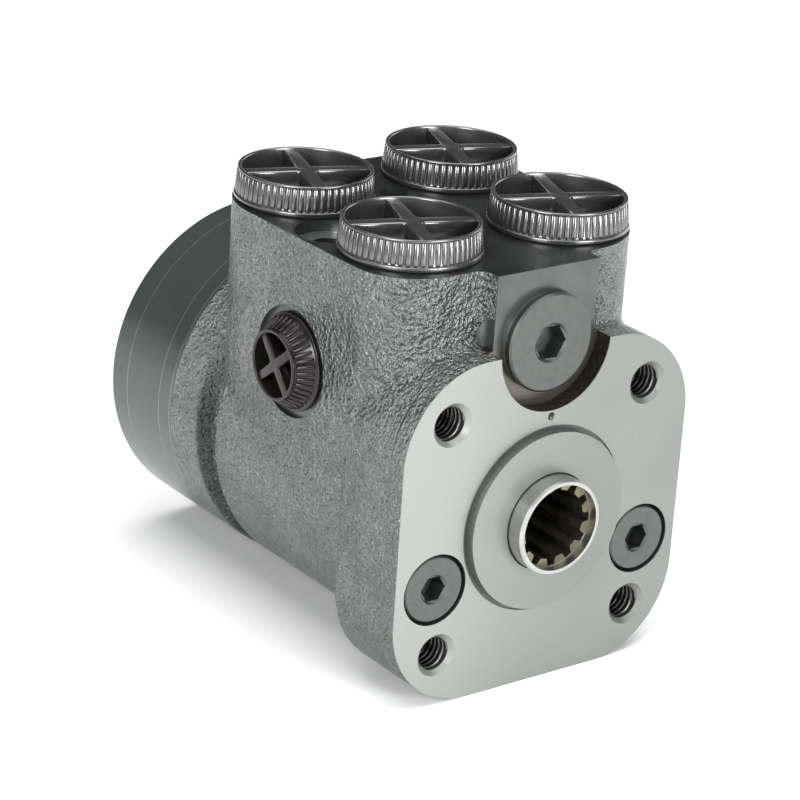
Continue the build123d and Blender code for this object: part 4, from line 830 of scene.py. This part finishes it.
def cap_mesh(name, sizes, matrix, material):
    """A ribbed port cap with cross bars, standing on Z = 0 with its spigot below."""
    wall_r = sizes["top"] - sizes["rib_depth"]
    foot_r = sizes["base"] - sizes["rib_depth"]
    inside = sizes["top"] - sizes["rim"]
    profile = [
        (0, -sizes["spigot_depth"]),
        (sizes["spigot"], -sizes["spigot_depth"]),
        (sizes["spigot"], 0),
        (sizes["base"] + 0.15 * MM, 0),
        (sizes["base"] + 0.15 * MM, sizes["lip"]),
        (foot_r, sizes["lip"] + 0.1 * MM),
        (wall_r, sizes["height"] - 0.7 * MM),
        (sizes["top"], sizes["height"] - 0.5 * MM),
        (sizes["top"] - 0.1 * MM, sizes["height"]),
        (inside, sizes["height"]),
        (inside - 0.1 * MM, sizes["floor"]),
        (0, sizes["floor"]),
    ]
    shell = lathe(rounded(profile, sizes["edge"]), 96)
    bars = cross_bars(
        inside + 0.2 * MM, sizes["bar"], sizes["corner"], sizes["floor"] - 0.2 * MM,
        sizes["height"] - sizes["drop"], sizes["edge"]
    )
    ribs = grown(
        name + "_ribs",
        shared("grip_ribs", rib_tree),
        {
            "Count": sizes["ribs"],
            "Base Radius": foot_r,
            "Top Radius": wall_r,
            "Height": sizes["height"] - sizes["lip"] - 0.5 * MM,
            "Depth": sizes["rib_depth"],
            "Foot": sizes["lip"],
            "Material": material,
        },
    )
    return joined(name, [shell, bars], ribs, material, matrix)


# ------------------------------------------------------------------ operators
class StepBase:
    """What every step shares."""

    bl_options = {"REGISTER"}


class STEERING_OT_housing(StepBase, bpy.types.Operator):
    """Finish the cast housing"""

    bl_idname = "steering.housing"
    bl_label = "Housing"

    def execute(self, context):
        dress(housing_finish(context.scene.steering_housing), "housing")
        return {"FINISHED"}


class STEERING_OT_gear_set(StepBase, bpy.types.Operator):
    """Finish the distributor plate, the gear ring, the rotor and the end cover"""

    bl_idname = "steering.gear_set"
    bl_label = "Gear set"

    def execute(self, context):
        look = context.scene.steering_steel
        dress(painted_ring_finish(look), "distributor_plate", "gear_ring", "end_cover")
        dress(steel_finish("gear_steel", (0.42, 0.42, 0.41), 0.28), "rotor")
        return {"FINISHED"}


class STEERING_OT_valve(StepBase, bpy.types.Operator):
    """Finish the spool, the sleeve, the bearing and the drive train"""

    bl_idname = "steering.valve"
    bl_label = "Rotary valve"

    def execute(self, context):
        look = context.scene.steering_steel
        dress(turned_steel_finish(look), "spool")
        honed = steel_finish("honed_steel", (0.5, 0.5, 0.49), 0.2)
        dress(honed, "sleeve", "drive_shaft", "drive_spacer", "cross_pin")
        races = ("bearing_race_outer", "bearing_race_inner", "bearing_cage")
        dress(steel_finish("bearing_steel", (0.62, 0.62, 0.61), 0.14, marks=0.003), *races)
        return {"FINISHED"}


class STEERING_OT_plugs(StepBase, bpy.types.Operator):
    """Finish the valve plugs and what they hold"""

    bl_idname = "steering.plugs"
    bl_label = "Valve plugs"

    def execute(self, context):
        look = context.scene.steering_steel
        for name in ("relief_plug", "shock_plug_left", "shock_plug_right"):
            low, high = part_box(name)
            middle = (low + high) / 2 / MM
            dress(steel_finish(name + "_steel", look.plug, 0.4, (middle.x, middle.z), 0.006), name)
        seats = ("relief_adjuster", "relief_poppet", "relief_seat")
        dress(steel_finish("seat_steel", (0.5, 0.5, 0.48), 0.25), *seats)
        balls = (
            "shock_ball_left", "shock_ball_right", "check_ball", "suction_ball_left", "suction_ball_right"
        )
        dress(steel_finish("ball_steel", (0.66, 0.66, 0.66), 0.1, marks=0.001), *balls)
        dress(steel_finish("seat_ring_steel", (0.5, 0.5, 0.48), 0.25), "check_bushing", "suction_pins")
        springs = (
            "relief_spring", "shock_spring_left", "shock_spring_right", "centring_springs", "spring_ring"
        )
        dress(steel_finish("spring_steel", (0.33, 0.33, 0.34), 0.3), *springs)
        return {"FINISHED"}


class STEERING_OT_screws(StepBase, bpy.types.Operator):
    """Finish the cover screws and the washers"""

    bl_idname = "steering.screws"
    bl_label = "Cover screws"

    def execute(self, context):
        look = context.scene.steering_steel
        dress(steel_finish("screw_steel", [c * 1.6 for c in look.ring], 0.36), "cover_screws", "pin_screw")
        dress(steel_finish("washer_metal", (0.5, 0.48, 0.44), 0.32), "screw_washers", "relief_washer")
        return {"FINISHED"}


class STEERING_OT_seals(StepBase, bpy.types.Operator):
    """Finish the rubber seals"""

    bl_idname = "steering.seals"
    bl_label = "Seals"

    def execute(self, context):
        dress(rubber_finish(), "dust_seal", "shaft_seal", "joint_seals")
        return {"FINISHED"}


class STEERING_OT_threads(StepBase, bpy.types.Operator):
    """Cut the threads of the column bolt holes and the ports"""

    bl_idname = "steering.threads"
    bl_label = "Threads"

    def execute(self, context):
        sizes = context.scene.steering_threads
        tree = shared("thread_ridges", thread_tree)
        steel = steel_finish("thread_steel", (0.16, 0.155, 0.15), 0.3, stain=0.35)
        columns = [(x * MM, 1.6 * MM, z * MM) for x in (-BOLT_HALF, BOLT_HALF) for z in (-BOLT_HALF, BOLT_HALF)]
        self.cut("column_threads", tree, steel, columns, (-math.pi / 2, 0, 0), {
            "Radius": sizes.column_radius, "Pitch": sizes.column_pitch, "Turns": 9.0, "Depth": sizes.depth
        })
        places = [mount_place("port_" + name) for name in PORTS]
        ports = [(place.x * MM, place.y * MM, (PORT_FACE_Z - 3.4) * MM) for place in places]
        self.cut("port_threads", tree, steel, ports, (math.pi, 0, 0), {
            "Radius": sizes.port_radius, "Pitch": sizes.port_pitch, "Turns": 9.0, "Depth": sizes.depth
        })
        sense = [((SENSE_FLOOR_X + 3.2) * MM, SENSE.y * MM, SENSE.z * MM)]
        self.cut("sense_threads", tree, steel, sense, (0, math.pi / 2, 0), {
            "Radius": sizes.sense_radius, "Pitch": sizes.port_pitch, "Turns": 7.0, "Depth": sizes.depth
        })
        return {"FINISHED"}

    def cut(self, name, tree, steel, points, direction, values):
        mesh = grown(name, tree, {**values, "Direction": direction, "Material": steel}, points)
        piece(name, mesh, "housing_body")


class STEERING_OT_caps(StepBase, bpy.types.Operator):
    """Mould the four port caps and the small sensing cap"""

    bl_idname = "steering.caps"
    bl_label = "Port caps"

    def execute(self, context):
        look = context.scene.steering_caps
        plastic = plastic_finish("cap_plastic", look.plastic, (0.03, 0.026, 0.024), 1.0)
        brown = plastic_finish("sensing_cap_plastic", (0.008, 0.007, 0.007), (0.022, 0.008, 0.008), 0.1)
        big = {
            "top": 16.6 * MM, "base": 17.2 * MM, "height": 7.6 * MM, "lip": 1.2 * MM, "rim": 1.0 * MM,
            "floor": 1.8 * MM, "spigot": 11.85 * MM, "spigot_depth": 2.2 * MM, "drop": 0.5 * MM,
            "corner": 1.2 * MM, "ribs": look.ribs, "rib_depth": look.rib_depth, "bar": look.bar_width,
            "edge": look.edge
        }
        for name in PORTS:
            port = mount_place("port_" + name)
            place = Matrix.Translation(Vector((port.x, port.y, PORT_FACE_Z + 0.05)) * MM)
            place = place @ Matrix.Rotation(math.radians(-20), 4, "Z")
            mesh = cap_mesh("port_cap_" + name, big, place, plastic)
            piece("port_cap_" + name, mesh, f"cap_{name}_body", ["cap_" + name])
        small = {
            **big, "top": 8.8 * MM, "base": 12.0 * MM, "height": 6.2 * MM, "spigot": 6.85 * MM,
            "spigot_depth": 2.1 * MM, "corner": 0.6 * MM, "ribs": look.sense_ribs, "bar": look.sense_bar_width,
            "edge": look.edge * 0.7
        }
        place = Matrix.Translation(Vector((SENSE_FLOOR_X - 0.05, SENSE.y, SENSE.z)) * MM)
        place = place @ Matrix.Rotation(math.radians(-90), 4, "Y") @ Matrix.Rotation(math.radians(40), 4, "Z")
        mesh = cap_mesh("sensing_cap", small, place, brown)
        piece("sensing_cap", mesh, "sense_cap_body", ["sense_cap"])
        return {"FINISHED"}


class STEERING_OT_stage(StepBase, bpy.types.Operator):
    """Set the floor, the lights and the camera"""

    bl_idname = "steering.stage"
    bl_label = "Stage"

    def execute(self, context):
        look = context.scene.steering_stage
        self.floor(look)
        self.surround(context.scene)
        self.lights(context.scene)
        self.camera(context.scene, look)
        return {"FINISHED"}

    def floor(self, look):
        """A wide pale floor under the unit."""
        level = CAD_BOX[0][2] - 0.0001
        mesh = bpy.data.meshes.new("floor")
        reach = 3.0
        turns = ((-1, -1), (1, -1), (1, 1), (-1, 1))
        corners = [(side * reach, end * reach, level) for side, end in turns]
        mesh.from_pydata(corners, [], [(0, 1, 2, 3)])
        finish = Finish("floor_paper", Specular_IOR_Level=0.2)
        finish.set("Base Color", finish.stained(look.floor, [c * 0.985 for c in look.floor], 160.0, 0.5))
        finish.set("Roughness", finish.graph.blend(finish.graph.noise(finish.place, 40.0), 0.6, 0.7))
        mesh.materials.append(finish.material)
        plane = bpy.data.objects.new("floor", mesh)
        bpy.context.scene.collection.objects.link(plane)

    def surround(self, scene):
        """White around the horizon and darker overhead."""
        world = bpy.data.worlds.new("studio")
        world.use_nodes = True
        tree = world.node_tree
        tree.nodes.clear()
        graph = Graph(tree)
        direction = graph.add("ShaderNodeTexCoord").outputs["Generated"]
        height = graph.add("ShaderNodeSeparateXYZ", {0: direction}).outputs["Z"]
        dark = graph.above(height, 0.07, 0.14)
        tint = graph.mix(dark, (1.0, 1.0, 1.0, 1.0), (0.06, 0.06, 0.063, 1.0))
        light = graph.add("ShaderNodeBackground", {"Color": tint, "Strength": 1.0})
        output = graph.add("ShaderNodeOutputWorld")
        tree.links.new(light.outputs[0], output.inputs["Surface"])
        scene.world = world

    def lights(self, scene):
        """Soft boxes: name, place, target, size and power."""
        boxes = [
            ("top_box", (0.0, 0.05, 1.3), 1.6, 27.0),
            ("left_box", (-1.0, -0.45, 0.5), 0.5, 12.0),
            ("front_box", (0.15, -1.1, 0.3), 0.5, 13.0),
            ("right_box", (1.3, 0.2, 0.5), 0.8, 3.5),
        ]
        for name, place, size, power in boxes:
            data = bpy.data.lights.new(name, "AREA")
            data.shape = "SQUARE"
            data.size = size
            data.energy = power
            box = bpy.data.objects.new(name, data)
            aim = Vector((0, 0.06, 0.01)) - Vector(place)
            box.matrix_world = Matrix.Translation(place) @ aim.to_track_quat("-Z", "Y").to_matrix().to_4x4()
            scene.collection.objects.link(box)

    def camera(self, scene, look):
        """A long lens looking down on the port side from the front left."""
        target = Vector((22.08, 86.99, -5.09)) * MM
        azimuth, elevation = look.camera_azimuth, look.camera_elevation
        forward = Vector((
            -math.sin(azimuth) * math.cos(elevation),
            math.cos(azimuth) * math.cos(elevation),
            -math.sin(elevation),
        ))
        right = forward.cross(Vector((0, 0, 1))).normalized()
        up = right.cross(forward)
        turn = Matrix.Rotation(look.camera_roll, 3, "Z")
        axes = Matrix((right, up, -forward)).transposed() @ turn
        data = bpy.data.cameras.new("camera")
        data.sensor_width = 36.0
        data.lens = 137.216
        made = bpy.data.objects.new("camera", data)
        made.matrix_world = Matrix.Translation(target - forward * look.camera_distance) @ axes.to_4x4()
        scene.collection.objects.link(made)
        scene.camera = made
        scene.view_settings.view_transform = "Standard"


STEPS = (
    STEERING_OT_housing,
    STEERING_OT_gear_set,
    STEERING_OT_valve,
    STEERING_OT_plugs,
    STEERING_OT_screws,
    STEERING_OT_seals,
    STEERING_OT_threads,
    STEERING_OT_caps,
    STEERING_OT_stage,
)


class STEERING_PT_panel(bpy.types.Panel):
    """Lists the steps of the steering unit"""

    bl_idname = "STEERING_PT_panel"
    bl_label = "Steering Unit"
    bl_space_type = "VIEW_3D"
    bl_region_type = "UI"
    bl_category = "Steering Unit"

    def draw(self, context):
        for step in STEPS:
            self.layout.operator(step.bl_idname)


GROUPS = {
    "steering_housing": HousingLook,
    "steering_threads": ThreadSizes,
    "steering_caps": CapSizes,
    "steering_steel": SteelLook,
    "steering_stage": StageLook,
}


def register():
    for name, group_class in GROUPS.items():
        bpy.utils.register_class(group_class)
        setattr(bpy.types.Scene, name, bpy.props.PointerProperty(type=group_class))
    for step in STEPS:
        bpy.utils.register_class(step)
    bpy.utils.register_class(STEERING_PT_panel)


def unregister():
    bpy.utils.unregister_class(STEERING_PT_panel)
    for step in reversed(STEPS):
        bpy.utils.unregister_class(step)
    for name, group_class in GROUPS.items():
        delattr(bpy.types.Scene, name)
        bpy.utils.unregister_class(group_class)


def main():
    register()
    for step in STEPS:
        area, action = step.bl_idname.split(".")
        getattr(getattr(bpy.ops, area), action)()


if __name__ == "__main__":
    main()
